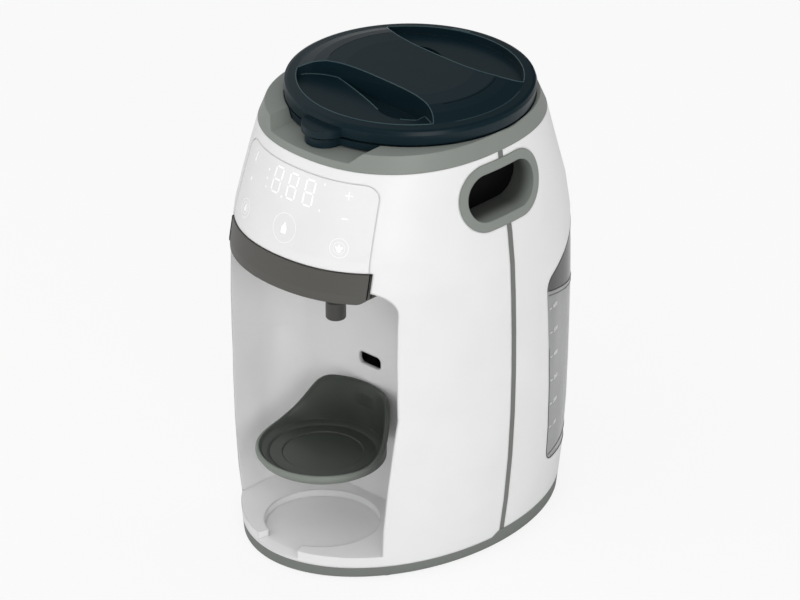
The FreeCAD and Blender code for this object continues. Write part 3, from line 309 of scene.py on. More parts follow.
def floor():
    """A large square floor that glows for the camera only."""
    mesh = bpy.data.meshes.new("studio_floor")
    h = FLOOR_HALF
    mesh.from_pydata([(-h, -h, 0), (h, -h, 0), (h, h, 0), (-h, h, 0)], [], [(0, 1, 2, 3)])
    obj = bpy.data.objects.new("studio_floor", mesh)
    bpy.context.scene.collection.objects.link(obj)
    mat, tree, shader = new_material("pale_floor")
    shader.inputs["Base Color"].default_value = FLOOR_COLOUR
    shader.inputs["Roughness"].default_value = FLOOR_ROUGH
    glow = tree.nodes.new("ShaderNodeEmission")
    glow.inputs["Strength"].default_value = 1.0
    path = tree.nodes.new("ShaderNodeLightPath")
    keep = math_node(tree, "MULTIPLY")
    keep.inputs[1].default_value = FLOOR_GLOW
    tree.links.new(path.outputs["Is Camera Ray"], keep.inputs[0])
    mix = tree.nodes.new("ShaderNodeMixShader")
    tree.links.new(keep.outputs["Value"], mix.inputs["Fac"])
    tree.links.new(shader.outputs["BSDF"], mix.inputs[1])
    tree.links.new(glow.outputs["Emission"], mix.inputs[2])
    tree.links.new(mix.outputs["Shader"], tree.nodes["Material Output"].inputs["Surface"])
    mesh.materials.append(mat)


floor()
print("floor %.0f m across" % (2 * FLOOR_HALF))

# %% [markdown]
# The world is the room. The camera, and a ray that has passed through smoked plastic, see plain
# white. Matt surfaces get an even soft light from all round. Gloss sees a dimmer room with one
# brighter card at the back left, as a studio hangs black cloth to keep dark plastic dark.

# %% World
WORLD_LEVEL = 0.66
DIM_LEVEL, CARD_LEVEL = 0.03, 0.5
CARD_AIM = Vector((-1.0, 0.1, 0.4)).normalized()
CARD_EDGE = 0.6                 # cosine of the angle at which the card fades out


def world():
    """One light level for matt surfaces, another for gloss, and white for the camera."""
    scene_world = bpy.data.worlds.new("studio")
    bpy.context.scene.world = scene_world
    scene_world.use_nodes = True
    tree = scene_world.node_tree
    back = tree.nodes["Background"]
    back.inputs["Color"].default_value = (1, 1, 1, 1)
    path = tree.nodes.new("ShaderNodeLightPath")
    place = tree.nodes.new("ShaderNodeTexCoord")
    facing = math_node(tree, "DOT_PRODUCT", vector=True)
    facing.inputs[1].default_value = CARD_AIM
    tree.links.new(place.outputs["Generated"], facing.inputs[0])
    card = tree.nodes.new("ShaderNodeMapRange")
    card.interpolation_type = "SMOOTHSTEP"
    card.inputs["From Min"].default_value = CARD_EDGE
    card.inputs["From Max"].default_value = 1.0
    card.inputs["To Min"].default_value = DIM_LEVEL
    card.inputs["To Max"].default_value = CARD_LEVEL
    tree.links.new(facing.outputs["Value"], card.inputs["Value"])
    shine = tree.nodes.new("ShaderNodeMapRange")
    shine.inputs["To Min"].default_value = WORLD_LEVEL
    tree.links.new(card.outputs["Result"], shine.inputs["To Max"])
    tree.links.new(path.outputs["Is Glossy Ray"], shine.inputs["Value"])
    seen = math_node(tree, "MAXIMUM")
    tree.links.new(path.outputs["Is Camera Ray"], seen.inputs[0])
    tree.links.new(path.outputs["Is Transmission Ray"], seen.inputs[1])
    level = tree.nodes.new("ShaderNodeMapRange")
    tree.links.new(shine.outputs["Result"], level.inputs["To Min"])
    level.inputs["To Max"].default_value = 1.0
    tree.links.new(seen.outputs["Value"], level.inputs["Value"])
    tree.links.new(level.outputs["Result"], back.inputs["Strength"])


world()
print("world level", WORLD_LEVEL)

# %% [markdown]
# Three broad softboxes shape the body: the strongest from the right, a high one in front and a
# weak one from the left. Small lamps would give hard shadows and hot spots on satin plastic.
# Each is placed by the direction that its light comes from, and turned to the middle.

# %% Lamps
MIDDLE = Vector((0.0, 0.0, 0.18))
LAMPS = (   # name, azimuth and elevation in degrees, distance and size in metres, watts
    ("right_softbox", 58, 15, 2.8, 1.4, 18),
    ("front_softbox", 20, 50, 2.6, 1.6, 9),
    ("left_softbox", -40, 20, 2.8, 1.4, 7),
)


def away_from(turn, rise):
    """The direction at an azimuth, counted from the front towards the right, and a height."""
    return Vector((math.sin(turn) * math.cos(rise), -math.cos(turn) * math.cos(rise), math.sin(rise)))


def lamp(name, azimuth, elevation, distance, size, watts):
    """A square softbox that is turned to the machine's middle."""
    data = bpy.data.lights.new(name, "AREA")
    data.size = size
    data.energy = watts
    obj = bpy.data.objects.new(name, data)
    bpy.context.scene.collection.objects.link(obj)
    away = away_from(math.radians(azimuth), math.radians(elevation))
    obj.location = MIDDLE + away * distance
    obj.rotation_euler = (-away).to_track_quat("-Z", "Y").to_euler()


for row in LAMPS:
    lamp(*row)
print("lamps", len(LAMPS))

# %% [markdown]
# The camera looks from the front right, a little from above, through a long lens, which keeps
# upright edges nearly parallel. It could be moved by hand until the view looks right, but then
# nobody could say why. Here its place comes from two angles and a distance, and its aim and
# lens from where the machine's foot is to appear and how large.

# %% Camera
AZIMUTH, ELEVATION = math.radians(43.3), math.radians(29.5)
DISTANCE, FAR = 4.5, 60.0
PIXELS_PER_METRE = 1380.0
PICTURE = (800, 600)
ORIGIN_PIXEL = (400.9, 498.6)
SENSOR = 36.0


def camera():
    """A camera that shows the origin at its pixel, with no shift."""
    away = away_from(AZIMUTH, ELEVATION)
    right = Vector((math.cos(AZIMUTH), math.sin(AZIMUTH), 0))
    up = right.cross(-away)
    focal = PIXELS_PER_METRE * DISTANCE
    across = PICTURE[0] / 2 - ORIGIN_PIXEL[0]
    rise = ORIGIN_PIXEL[1] - PICTURE[1] / 2
    aim = -away * focal + right * across + up * rise
    data = bpy.data.cameras.new("camera")
    data.sensor_width = SENSOR
    data.lens = aim.length * data.sensor_width / PICTURE[0]
    data.clip_end = FAR
    obj = bpy.data.objects.new("camera", data)
    bpy.context.scene.collection.objects.link(obj)
    obj.location = away * DISTANCE
    obj.rotation_euler = aim.to_track_quat("-Z", "Y").to_euler()
    bpy.context.scene.camera = obj
    print("lens %.1f mm" % data.lens)


camera()
bpy.context.scene.view_settings.view_transform = "Standard"

# %% [markdown]
# Small things sit on the moulded skins: printed marks, beads, gaps and screws. None of them can
# be placed by guess, because the skins curve both ways. A ray is shot at the CAD mesh instead,
# and the mark is laid on the point where it lands, turned to the skin's own normal.

# %% Rays onto a skin


def skin_of(*names):
    """A target for rays, made of some of the frame's nodes."""
    verts, faces = [], []
    for name in names:
        mesh = NODES[name].data
        first = len(verts)
        verts.extend(v.co.copy() for v in mesh.vertices)
        faces.extend([first + i for i in face.vertices] for face in mesh.polygons)
    return BVHTree.FromPolygons(verts, faces)


def land(skin, start, aim):
    """Where a ray meets a skin, and the skin's normal turned against the ray."""
    place, normal = skin.ray_cast(Vector(start), Vector(aim).normalized())[:2]
    if place is None:
        raise ValueError("no skin below %r" % (tuple(start),))
    return place, normal if normal.dot(Vector(aim)) < 0 else -normal


def piece(name, mesh, mat, body):
    """Put a finished mesh into the scene as a piece that rides on a body."""
    obj = bpy.data.objects.new(name, mesh)
    bpy.context.scene.collection.objects.link(obj)
    mesh.materials.append(mat)
    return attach(obj, body)


PANEL_SKIN = skin_of("control_panel")
FROM_FRONT, FRONT_START = (0, 1, 0), -0.3
print("panel skin", len(NODES["control_panel"].data.polygons), "faces")

# %% [markdown]
# A printed or moulded mark has a little thickness of its own. A texture would need an unwrapped
# skin and blur close up, and a flat plate would cut into a curved one. So each mark starts as a
# flat outline in millimetres, cut into small faces. Every corner is then dropped onto the skin
# on its own, and an edge closes the plate all round.

# %% Flat marks laid on a skin
UP = Vector((0, 0, 1))
MARK_LIFT, MARK_DEPTH = 0.05, 0.12
RAY_RISE = 0.015                # metres above the skin at which a corner's ray starts


def lay(name, faces, skin, start, aim, mat, body, lift=MARK_LIFT):
    """A thin closed plate with a flat outline in millimetres, wrapped onto the skin below it."""
    centre, normal = land(skin, start, aim)
    tall = (UP - normal * UP.dot(normal)).normalized() if abs(normal.z) < 0.9 else Vector((0, 1, 0))
    tall = (tall - normal * tall.dot(normal)).normalized()
    wide = tall.cross(normal)
    bm = bmesh.new()
    tops, lows, rims = {}, {}, {}
    for face in faces:
        keys = [(round(a, 3), round(b, 3)) for a, b in face]
        for a, b in keys:
            if (a, b) not in tops:
                above = centre + (wide * a + tall * b) * MM + normal * RAY_RISE
                place, out = land(skin, above, -normal)
                tops[a, b] = bm.verts.new(place + out * lift * MM)
                lows[a, b] = bm.verts.new(place - out * MARK_DEPTH * MM)
        bm.faces.new([tops[k] for k in keys])
        bm.faces.new([lows[k] for k in reversed(keys)])
        for one, two in zip(keys, keys[1:] + keys[:1]):
            if rims.pop((two, one), None) is None:
                rims[one, two] = True
    for one, two in rims:
        bm.faces.new((tops[two], tops[one], lows[one], lows[two]))
    bmesh.ops.recalc_face_normals(bm, faces=bm.faces)
    mesh = bpy.data.meshes.new(name)
    bm.to_mesh(mesh)
    bm.free()
    return piece(name, mesh, mat, body)


print("marks stand %.2f mm proud" % MARK_LIFT)

# %% [markdown]
# Plain signs are made of a few shapes: bars, rings, ovals and filled outlines. Each helper gives
# a list of flat faces in millimetres about a middle point, so signs are built by adding lists.

# %% Flat shapes
CROSS_GAP = 0.35


def stroke(x0, y0, x1, y1, width, steps=1):
    """A straight bar between two points."""
    run = Vector((x1 - x0, y1 - y0))
    side = Vector((-run.y, run.x)).normalized() * width / 2
    rows = []
    for i in range(steps + 1):
        spot = Vector((x0, y0)) + run * i / steps
        rows.append((spot - side, spot + side))
    return [[low[0], high[0], high[1], low[1]] for low, high in zip(rows, rows[1:])]


def cross(reach, width, steps=1):
    """A bar across, with a short bar above it and one below."""
    return (stroke(-reach, 0, reach, 0, width, steps) + stroke(0, CROSS_GAP, 0, reach, width)
            + stroke(0, -reach, 0, -CROSS_GAP, width))


def hoop(r, width, start=0, end=360, steps=48):
    """A ring or an arc."""
    turns = [math.radians(start + (end - start) * i / steps) for i in range(steps + 1)]
    inner, outer = r - width / 2, r + width / 2
    rows = [((inner * math.cos(t), inner * math.sin(t)), (outer * math.cos(t), outer * math.sin(t)))
            for t in turns]
    return [[low[0], low[1], high[1], high[0]] for low, high in zip(rows, rows[1:])]


def blob(points):
    """A filled outline as a fan about its middle."""
    cx = sum(p[0] for p in points) / len(points)
    cy = sum(p[1] for p in points) / len(points)
    return [[(cx, cy), a, b] for a, b in zip(points, points[1:] + points[:1])]


def oval(cx, cy, rx, ry, turn=0.0, steps=20):
    """A filled oval, turned by an angle in degrees."""
    c, s = math.cos(math.radians(turn)), math.sin(math.radians(turn))
    angles = [2 * math.pi * i / steps for i in range(steps)]
    spots = [(rx * math.cos(t), ry * math.sin(t)) for t in angles]
    return blob([(cx + x * c - y * s, cy + x * s + y * c) for x, y in spots])


print("faces in a ring", len(hoop(10, 1)))

# %% [markdown]
# The control panel is a thin white sheet over lamps and touch pads. On the real thing the marks
# are lit from behind, so they read as a slightly brighter white. Here each mark is a thin plate
# with a weak glow of its own. The display shows all seven bars of each of its three digits.

# %% Lit digits
DIGIT_W, DIGIT_H, DIGIT_STEP = 7.6, 18.0, 15.2
BAR_W, BAR_GAP = 1.25, 0.85
DIGITS_X, DIGITS_Z = -0.8, 292.0
POINT_X, POINT_DROP, POINT_R = -8.4, 0.2, 0.9


def lit(name, glow):
    """White print over a lamp."""
    mat = plastic(name, srgb(250, 250, 250), 0.35, grain=0.02, mottle=0.01, edge=0.1)
    shader = mat.node_tree.nodes["Principled BSDF"]
    shader.inputs["Emission Color"].default_value = (1, 1, 1, 1)
    shader.inputs["Emission Strength"].default_value = glow
    return mat


LIT = lit("lit_marks", 0.14)
FAINT = lit("faint_marks", 0.05)


def on_panel(name, faces, x, z, mat=LIT):
    """A mark on the panel, with its middle at x and z in millimetres."""
    return lay(name, faces, PANEL_SKIN, (x * MM, FRONT_START, z * MM), FROM_FRONT, mat, "housing")


def digit_bars():
    """All seven bars of one digit."""
    w, h = DIGIT_W / 2, DIGIT_H / 2
    bars = []
    for y in (-h, 0, h):
        bars += stroke(-w + BAR_GAP, y, w - BAR_GAP, y, BAR_W, 3)
    for x in (-w, w):
        bars += stroke(x, BAR_GAP, x, h - BAR_GAP, BAR_W, 3)
        bars += stroke(x, BAR_GAP - h, x, -BAR_GAP, BAR_W, 3)
    return bars


for i in range(3):
    on_panel("panel_digit_%d" % (i + 1), digit_bars(), (i - 1) * DIGIT_STEP + DIGITS_X, DIGITS_Z)
on_panel("panel_point", oval(0, 0, POINT_R, POINT_R), POINT_X, DIGITS_Z - DIGIT_H / 2 - POINT_DROP)
print("bars in a digit", len(digit_bars()) // 3)

# %% [markdown]
# Under the digits are three touch pads, each a fine ring: a wide one in the middle and a double
# one on either side. They are only printed, so they have no travel, and they stay fainter than
# the digits.

# %% Touch rings
RING_R, RING_W, RING_X, RING_Z = 10.4, 0.5, 0.4, 264.2
SIDE_RING_R, SIDE_RING_X, SIDE_RING_Z = 6.8, 45.2, 260.9
INNER_RING_R, INNER_RING_W = SIDE_RING_R - 2.6, 0.35
on_panel("panel_ring_middle", hoop(RING_R, RING_W), RING_X, RING_Z, FAINT)
for side, name in ((-1, "left"), (1, "right")):
    x = side * SIDE_RING_X
    on_panel("panel_ring_" + name, hoop(SIDE_RING_R, RING_W), x, SIDE_RING_Z, FAINT)
    on_panel("panel_ring_inner_" + name, hoop(INNER_RING_R, INNER_RING_W), x, SIDE_RING_Z, FAINT)
print("ring radii", RING_R, SIDE_RING_R, INNER_RING_R)

# %% [markdown]
# The signs say what a pad does without words: a drop for water, a bottle, a flower for rinsing,
# plus and minus, a cup and a warmth mark, and small round lamps beside the digits. Each is put
# together from the flat shapes, because a sign of this size needs only a few corners.

# %% Signs and lamps on the panel
LAMP_R = 1.0


def drop(r):
    """A water drop: most of a circle, and a point above it."""
    round_part = [(r * math.cos(math.radians(t)), r * math.sin(math.radians(t)))
                  for t in range(150, 391, 15)]
    return blob(round_part + [(0, 2.3 * r)])


def bottle_sign():
    """A small feeding bottle: body, neck ring and teat."""
    body = blob([(-2.2, -3.8), (2.2, -3.8), (2.4, 0.6), (1.4, 1.6), (-1.4, 1.6), (-2.4, 0.6)])
    return body + stroke(-1.6, 2.2, 1.6, 2.2, 0.6) + oval(0, 3.3, 0.75, 1.0)


def flower_sign():
    """Three petals over a low oval."""
    leaning = oval(-1.7, 0.2, 0.7, 1.6, 40) + oval(1.7, 0.2, 0.7, 1.6, -40)
    return oval(0, 0.9, 0.8, 1.9) + leaning + oval(0, -1.9, 1.5, 0.8)


SIGNS = (   # name, faces, and the x and z of the middle
    ("panel_sign_drop", drop(1.7), -45.2, 260.3),
    ("panel_sign_bottle", bottle_sign(), 0.4, 264.0),
    ("panel_sign_petals", flower_sign(), 45.2, 260.6),
    ("panel_plus", cross(2.9, 0.7, 2), 43.6, 296.2),
    ("panel_minus", stroke(-2.4, 0, 2.4, 0, 0.8, 2), 44.6, 280.8),
    ("panel_sign_warm", stroke(0, -1.4, 0, 3.4, 0.9, 2) + oval(0, -2.6, 1.3, 1.3), -45.8, 296.4),
    ("panel_sign_cup", oval(0, 0, 1.3, 1.5), -46.0, 280.9),
)
LAMP_SPOTS = ((-26.8, 295.0), (-26.6, 289.3), (-26.2, 283.6), (24.9, 300.2), (25.6, 282.8))
for row in SIGNS:
    on_panel(*row)
for i, (x, z) in enumerate(LAMP_SPOTS):
    on_panel("panel_lamp_%d" % (i + 1), oval(0, 0, LAMP_R, LAMP_R, steps=12), x, z, FAINT)

# %% [markdown]
# Where two mouldings meet there is an edge. On dark glossy plastic the eye finds it by a thin
# bright bead, a highlight that is painted on a fine tube, and on clear plastic by a dark line,
# where the wall is seen end on. Both are made the same way: the sharp edges of the CAD mesh are
# chained into lines, and a fine tube follows each line, so it can't drift from the moulding.

# %% Chains of sharp edges


def sharp_lines(node, wanted, angle=28.0):
    """Polylines, in metres, along the node's sharp edges whose ends both satisfy wanted (in mm)."""
    mesh = NODES[node].data
    keys = [tuple(round(c / MM, 2) for c in v.co) for v in mesh.vertices]
    beside = {}
    for face in mesh.polygons:
        ids = [keys[i] for i in face.vertices]
        for a, b in zip(ids, ids[1:] + ids[:1]):
            if a != b:
                beside.setdefault(frozenset((a, b)), []).append(face.normal.copy())
    flat = math.cos(math.radians(angle))
    links = {}
    for pair, normals in beside.items():
        if len(normals) == 2 and normals[0].dot(normals[1]) < flat and all(wanted(*p) for p in pair):
            a, b = sorted(pair)
            links.setdefault(a, []).append(b)
            links.setdefault(b, []).append(a)
    lines, used = [], set()
    for start in sorted(links, key=lambda p: (len(links[p]) == 2, p)):
        for step in links[start]:
            if frozenset((start, step)) in used:
                continue
            line = [start, step]
            used.add(frozenset(line))
            while len(links[line[-1]]) == 2:
                a, b = links[line[-1]]
                ahead = a if b == line[-2] else b
                pair = frozenset((line[-1], ahead))
                if pair in used:
                    break
                used.add(pair)
                line.append(ahead)
            lines.append([Vector(p) * MM for p in line])
    return lines


def bead(name, lines, radius, mat, body, rounds=2):
    """A fine tube along each line, with its radius in millimetres."""
    curve = bpy.data.curves.new(name, "CURVE")
    curve.dimensions = "3D"
    curve.bevel_depth = radius * MM
    curve.bevel_resolution = rounds
    curve.use_fill_caps = True
    for line in lines:
        closed = len(line) > 3 and (line[0] - line[-1]).length < 1e-6
        points = line[:-1] if closed else line
        spline = curve.splines.new("POLY")
        spline.points.add(len(points) - 1)
        for spot, point in zip(spline.points, points):
            spot.co = (*point, 1.0)
        spline.use_cyclic_u = closed
    curve.materials.append(mat)
    obj = bpy.data.objects.new(name, curve)
    bpy.context.scene.collection.objects.link(obj)
    length = sum((a - b).length for line in lines for a, b in zip(line, line[1:]))
    print(name, len(lines), "lines, %.0f mm" % (length / MM))
    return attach(obj, body)


# %% [markdown]
# The powder lid is one dark blue-black moulding. Its hourglass handle is edged with a narrow
# bead, and a thin rib runs along the foot of its front wall. Both are paler than the lid, a
# painted highlight on these rounded edges. Both follow real edges of the CAD mesh, so those edges
# are picked by height and by distance from the lid's axis.

# %% Lid beads
AXIS_Y = (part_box("metering_wheel")[0].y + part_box("metering_wheel")[1].y) / 2 / MM
HANDLE_Z, HANDLE_R = 336.4, 80.4
LID_FLOOR_Z, FLOOR_NEAR, FOOT_REACH, FOOT_HALF = 331.0, 0.06, 79.0, 48.0
HANDLE_BEAD_R, FOOT_RIB_R = 0.42, 0.45
# The bead's paler blue-grey is a painted highlight on the lid's rounded edges.
LID_PAINTED_HIGHLIGHT = plastic("lid_bead_painted_highlight", srgb(58, 80, 86), 0.25, grain=0.0, shine=0.4, edge=0.1)
# The groove plate's near black is the painted shade inside a fine groove.
LID_SHADE = plastic("lid_groove", srgb(8, 14, 16), 0.6, grain=0.0, shine=0.1, edge=0.1)


def on_handle(x, y, z):
    """Whether a place is on the raised handle's upper edge."""
    return z > HANDLE_Z and math.hypot(x, y - AXIS_Y) < HANDLE_R


def on_foot(x, y, z):
    """Whether a place is at the foot of the handle's front wall."""
    low = abs(z - LID_FLOOR_Z) < FLOOR_NEAR and math.hypot(x, y - AXIS_Y) < FOOT_REACH
    return low and abs(y - AXIS_Y) < FOOT_HALF and y < AXIS_Y


bead("lid_handle_bead", sharp_lines("powder_lid", on_handle), HANDLE_BEAD_R, LID_PAINTED_HIGHLIGHT, "lid")
bead("lid_foot_rib", sharp_lines("powder_lid", on_foot), FOOT_RIB_R, LID_PAINTED_HIGHLIGHT, "lid")
print("lid axis y %.1f mm" % AXIS_Y)

# %% [markdown]
# A fine groove lies on each side of the handle. The rim has a small tab at the rear and a
# bright arc on each side. A groove this fine would cost many CAD faces, so it is a hair-thin
# darker plate laid on the lid, the groove's painted shade, and the tab and the arcs are lighter
# ones, a painted highlight.

# %% Lid grooves and arcs
LID_SKIN = skin_of("powder_lid")
ABOVE_LID = (0, AXIS_Y * MM, 0.4)
ARCS = (    # name, radius, width, first and last angle, steps, finish, lift
    ("lid_groove_left", 60.0, 0.5, 148, 203, 40, LID_SHADE, 0.04),
    ("lid_groove_right", 61.5, 0.5, -25, 28, 40, LID_SHADE, 0.04),
    ("lid_rear_tab", 82.4, 2.2, 102, 112, 12, LID_PAINTED_HIGHLIGHT, 0.1),
    ("lid_turn_arc_left", 80.6, 0.35, 156, 204, 40, LID_PAINTED_HIGHLIGHT, 0.12),
    ("lid_turn_arc_right", 80.6, 0.35, -24, 24, 40, LID_PAINTED_HIGHLIGHT, 0.12),
)
for name, r, width, first, last, steps, mat, lift in ARCS:
    arc = hoop(r, width, first, last, steps)
    lay(name, arc, LID_SKIN, ABOVE_LID, (0, 0, -1), mat, "lid", lift)
print("lid arcs", len(ARCS))

# %% [markdown]
# The bottle stand is one dark moulding: a round dish with two steps, a rolled lip that stays low
# at the front, and a guard that climbs at the back, where the bottle is stopped. Its tongue goes
# into a slot in the bay wall. A turned dish would have one height all round, so the same half
# profile is set at every few degrees with its lip raised as it goes, which gives one smooth
# skin. In the CAD model the guard is cut by a plane.

# %% Stand profile
STAND_Y = -80.8
STAND_R, STAND_IN_R, STAND_LOW, STAND_FLOOR = 48.0, 38.4, 68.0, 71.6
LIP = [(0, 77.4), (78, 77.4), (93, 78.6), (105, 82.7), (114, 88.0), (121, 94.2),   # angle, height
       (128, 102.2), (134, 107.2), (142, 109.2), (180, 108.8)]
LIP_EASE = (-5, -2.5, 0, 2.5, 5)


def lip_height(angle):
    """Height of the lip at an angle from the front, straight between the given points."""
    for (a0, z0), (a1, z1) in zip(LIP, LIP[1:]):
        if angle <= a1:
            t = (angle - a0) / (a1 - a0)
            return z0 + (z1 - z0) * t
    return LIP[-1][1]


def stand_section(angle):
    """Half profile of the dish, from the middle of the floor out, over the lip and back below."""
    edge = sum(lip_height(min(180.0, abs(angle + d))) for d in LIP_EASE) / len(LIP_EASE)
    r, inner, floor_z = STAND_R, STAND_IN_R, STAND_FLOOR
    return [(inner - 10.0, floor_z), (inner - 9.2, floor_z + 0.8), (inner - 0.8, floor_z + 0.8),
            (inner, floor_z + 1.6), (inner + 1.6, floor_z + 2.4), (r - 5.2, floor_z + 3.4),
            (r - 3.9, max(edge - 2.2, floor_z + 4.0)), (r - 3.1, edge - 0.5), (r - 2.2, edge),
            (r - 1.0, edge - 0.1), (r - 0.2, edge - 0.9), (r, edge - 2.2), (r - 0.1, edge - 3.2),
            (r - 1.9, max(edge - 5.0, STAND_LOW + 3.2)), (r - 2.6, STAND_LOW + 2.6),
            (r - 5.5, STAND_LOW + 0.7), (r - 9.0, STAND_LOW)]


print("stand profile", len(stand_section(0)), "points")

# %% [markdown]
# The profile above becomes a mesh: one ring of points for each angle, faces between neighbours,
# and a fan that closes the floor and one that closes the underside. The outer bands of the lip
# take a paler finish, a painted highlight that is dimmed by painted shade towards the back. The
# tongue is a bar with rounded corners.

# %% Bottle stand
STAND_STEPS, STAND_EDGE_ANGLE = 120, 38
LIP_HIGHLIGHT_BANDS = range(8, 15)
TONGUE_HALF_W, TONGUE_HALF_H, TONGUE_CORNER = 9.6, 4.2, 3
TONGUE_START, TONGUE_END, TONGUE_Z = STAND_Y + STAND_R - 5.0, -23.0, 96.0


def stand_dish(bm):
    """The dish with its lip and guard."""
    rows = []
    for i in range(STAND_STEPS):
        angle = 360.0 * i / STAND_STEPS
        turn = math.radians(angle)
        rows.append([bm.verts.new(Vector((r * math.sin(turn), STAND_Y - r * math.cos(turn), z)) * MM)
                     for r, z in stand_section(min(angle, 360 - angle))])
    top = bm.verts.new(Vector((0, STAND_Y, STAND_FLOOR)) * MM)
    low = bm.verts.new(Vector((0, STAND_Y, STAND_LOW)) * MM)
    for one, two in zip(rows, rows[1:] + rows[:1]):
        for j in range(len(one) - 1):
            band = bm.faces.new((one[j], two[j], two[j + 1], one[j + 1]))
            # The lip's outer bands take the paler material: a painted highlight with painted shade towards
            # the back.
            band.material_index = 1 if j in LIP_HIGHLIGHT_BANDS else 0
        bm.faces.new((top, two[0], one[0]))
        bm.faces.new((low, one[-1], two[-1]))


def stand_tongue(bm):
    """The bar that goes back into the slot."""
    c = TONGUE_CORNER
    turns = [math.radians(degrees) for degrees in (0, 30, 60, 90)]
    ring = [(TONGUE_HALF_W - c + c * math.cos(t), TONGUE_HALF_H - c + c * math.sin(t)) for t in turns]
    outline = ring + [(-x, z) for x, z in reversed(ring)]
    outline += [(-x, -z) for x, z in ring] + [(x, -z) for x, z in reversed(ring)]
    ends = [[bm.verts.new(Vector((x, y, TONGUE_Z + z)) * MM) for x, z in outline]
            for y in (TONGUE_START, TONGUE_END)]
    for i in range(len(outline)):
        j = (i + 1) % len(outline)
        bm.faces.new((ends[0][i], ends[0][j], ends[1][j], ends[1][i]))
    bm.faces.new(ends[0])
    bm.faces.new(ends[1])


def stand_mesh():
    """The dish and its tongue as one smooth mesh."""
    bm = bmesh.new()
    stand_dish(bm)
    stand_tongue(bm)
    bmesh.ops.remove_doubles(bm, verts=bm.verts, dist=1e-6)
    bmesh.ops.recalc_face_normals(bm, faces=bm.faces)
    mesh = bpy.data.meshes.new("bottle_stand_skin")
    bm.to_mesh(mesh)
    bm.free()
    mesh.shade_smooth()
    mesh.set_sharp_from_angle(angle=math.radians(STAND_EDGE_ANGLE))
    return mesh


stand = piece("bottle_stand_skin", stand_mesh(), STAND_DARK, "stand")
# The second material is the lip's painted highlight and painted shade.
stand.data.materials.append(STAND_LIP_PAINTED_LIGHT)
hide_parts("bottle_stand")
print("stand faces", len(stand.data.polygons))

# %% [markdown]
# The tank is clear smoked plastic, and its walls are seen end on along every edge. So its
# outline reads as a dark line, and so do the rim under its lid and the foot. The outline
# follows the mesh's own edges. The rim and foot lines run round the curved wall, so rays from
# all round the back find their places, at a height that is worked out from the depth.

# %% Tank lines
TANK_LINE = plastic("tank_edge", srgb(24, 26, 26), 0.3, grain=0.0, edge=0.1)
TANK_SKIN = skin_of("water_tank", "tank_lid")
TANK_EDGE_ANGLE = 25
OUTLINE_Y, OUTLINE_X = 42.5, 100.5      # behind the tank's front, and out at its sides
RIM_Z, RIM_FALL, RIM_Y = 186.0, 0.292, 43
FOOT_Z = 51.0
TURN_Y, TURN_REACH = 40, 250            # the rays come in towards this depth from this far out
FIRST_Y, TURN_TRIES = 90.0, 3           # the depth is guessed, then read from where a ray lands
ROUND_FRONT, ROUND_LONGEST = 42.7, 200
OUTLINE_R, RIM_R = 0.38, 0.3


def round_line(height_at):
    """A line round the back of the tank, at a height that depends on the depth y."""
    points = []
    for degrees in range(-110, 111, 2):
        turn = math.radians(degrees)
        out, y = Vector((math.sin(turn), math.cos(turn), 0)), FIRST_Y
        for _ in range(TURN_TRIES):
            start = Vector((0, TURN_Y * MM, height_at(y) * MM)) + out * (TURN_REACH * MM)
            place = TANK_SKIN.ray_cast(start, -out)[0]
            if place is None:
                break
            y = place.y / MM
        if place is not None and place.y > ROUND_FRONT * MM and (place - start).length < ROUND_LONGEST * MM:
            points.append(place)
    return points


for node, name in (("water_tank", "tank_outline"), ("tank_lid", "tank_lid_outline")):
    lines = sharp_lines(node, lambda x, y, z: y > OUTLINE_Y, TANK_EDGE_ANGLE)
    outer = [line for line in lines if max(abs(p.x) for p in line) > OUTLINE_X * MM]
    bead(name, outer, OUTLINE_R, TANK_LINE, "tank")
rows = [round_line(lambda y: RIM_Z - RIM_FALL * (y - RIM_Y)), round_line(lambda y: FOOT_Z)]
bead("tank_rim_lines", rows, RIM_R, TANK_LINE, "tank")

# %% [markdown]
# A scale is printed on each side near the front edge: six ticks, each with a plain number. The
# numbers come from Blender's own font, turned into faces, and are laid on the skin like every
# other mark. The tank's front edge leans, so each tick first looks for it at its own height.

# %% Tank scale
PRINT_WHITE = plastic("tank_print", srgb(240, 240, 240), 0.5, grain=0.0, edge=0.1)
TANK_RAY = 0.2                  # metres out to the side, where a ray starts
SEARCH_Y, SEARCH_STEP = 42.0, 0.5
SIDE_X = 30                     # a ray that lands nearer the middle has missed the side
TICKS, TICK_LOW, TICK_STEP = 6, 75.0, 19.86
TICK_INSET, TICK_HALF, TICK_W, PRINT_LIFT = 4.0, 1.6, 0.55, 0.06
NUMERAL_SIZE, NUMERAL_DROP = 4.4, 1.5
NUMERAL_SHIFT = {"left": -12.2, "right": 4.0}       # the numbers stand behind their ticks


def front_edge(z, side):
    """Where the tank's side begins at a height, found by moving a ray back until it lands."""
    y, place = SEARCH_Y - SEARCH_STEP, None
    while place is None or abs(place.x) <= SIDE_X * MM:
        y += SEARCH_STEP
        start = Vector((side * TANK_RAY, y * MM, z * MM))
        place = TANK_SKIN.ray_cast(start, Vector((-side, 0, 0)))[0]
    return y


def numeral_faces(text, size):
    """The faces of a plain numeral in millimetres, from a text curve turned into a mesh."""
    curve = bpy.data.curves.new("numeral", "FONT")
    curve.body = text
    curve.size = size
    curve.resolution_u = 3
    holder = bpy.data.objects.new("numeral", curve)
    mesh = bpy.data.meshes.new_from_object(holder)
    faces = [[tuple(mesh.vertices[i].co.xy) for i in face.vertices] for face in mesh.polygons]
    bpy.data.objects.remove(holder)
    bpy.data.meshes.remove(mesh)
    return faces


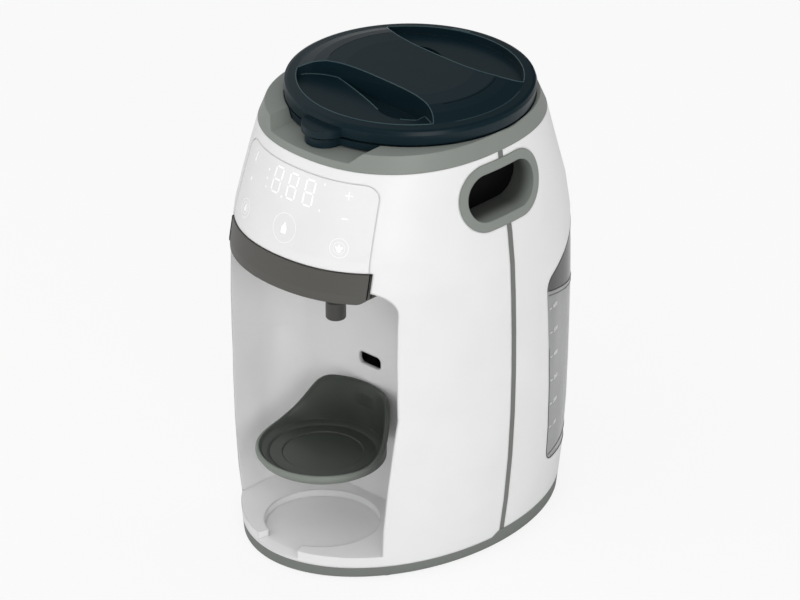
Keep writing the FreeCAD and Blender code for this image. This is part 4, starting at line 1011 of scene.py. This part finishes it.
for side, name in ((-1, "left"), (1, "right")):
    for i in range(TICKS):
        z = TICK_LOW + TICK_STEP * i
        y = front_edge(z, side) + TICK_INSET
        marks = stroke(-TICK_HALF, 0, TICK_HALF, 0, TICK_W, 2)
        for face in numeral_faces(str(100 * (i + 1)), NUMERAL_SIZE):
            marks.append([(a + NUMERAL_SHIFT[name], b - NUMERAL_DROP) for a, b in face])
        lay("tank_mark_%s_%d" % (name, i + 1), marks, TANK_SKIN,
            (side * TANK_RAY, y * MM, z * MM), (-side, 0, 0), PRINT_WHITE, "tank", PRINT_LIFT)
print("tank marks", 2 * TICKS)

# %% [markdown]
# The drawer's cover ends a little before the shell, so a dark gap shows at each end of it. The
# CAD model has only a clearance there, too fine to be seen as a line. A black bead along the
# cover's end edges stands for the shadow in the gap, and it moves with the drawer.

# %% Cover end gaps
COVER_END_X, COVER_BACK_Y = 66.0, -97.0
GAP_ANGLE, GAP_R = 25, 0.5


def at_cover_end(x, y, z):
    """Whether a place is at the left or right end of the cover."""
    return abs(x) > COVER_END_X and y < COVER_BACK_Y


bead("cover_end_gaps", sharp_lines("funnel_cover", at_cover_end, GAP_ANGLE), GAP_R, BLACK, "drawer")

# %% [markdown]
# The mains inlet at the back is a black well with two bare metal pins. A pin is a plain round
# rod, so a bead along a straight line of two points is enough, with a rounder section.

# %% Inlet pins
PIN_X, PIN_Z, PIN_R = 4.0, 20.5, 1.26
PIN_FROM, PIN_TO = 113.2, 125.2
for side, name in ((-1, "left"), (1, "right")):
    pin = [Vector((side * PIN_X, y, PIN_Z)) * MM for y in (PIN_FROM, PIN_TO)]
    bead("inlet_pin_" + name, [pin], PIN_R, STEEL, "housing", 4)

# %% [markdown]
# Steel screws hold the foot from below. A threaded solid for each would be wasted on a place
# that is only seen when the machine is turned over. So each is a round head laid on the pan
# from below, with a black cross a hair above it.

# %% Foot screws
PAN_SKIN = skin_of("base_pan")
SCREW_X, SCREW_FRONT_Y, SCREW_REAR_Y = 44.0, -78.0, 84.0
HEAD_R, HEAD_LIFT = 3.2, 0.8
CROSS_REACH, CROSS_W, CROSS_LIFT = 2.0, 0.6, 0.86
UPWARDS, START_BELOW = (0, 0, 1), -0.05
for x in (-SCREW_X, SCREW_X):
    for y in (SCREW_FRONT_Y, SCREW_REAR_Y):
        name = "foot_screw_%s_%s" % ("left" if x < 0 else "right", "front" if y < 0 else "rear")
        below = (x * MM, y * MM, START_BELOW)
        head = oval(0, 0, HEAD_R, HEAD_R, steps=24)
        lay(name, head, PAN_SKIN, below, UPWARDS, STEEL, "housing", HEAD_LIFT)
        slots = cross(CROSS_REACH, CROSS_W)
        lay(name + "_cross", slots, PAN_SKIN, below, UPWARDS, BLACK, "housing", CROSS_LIFT)
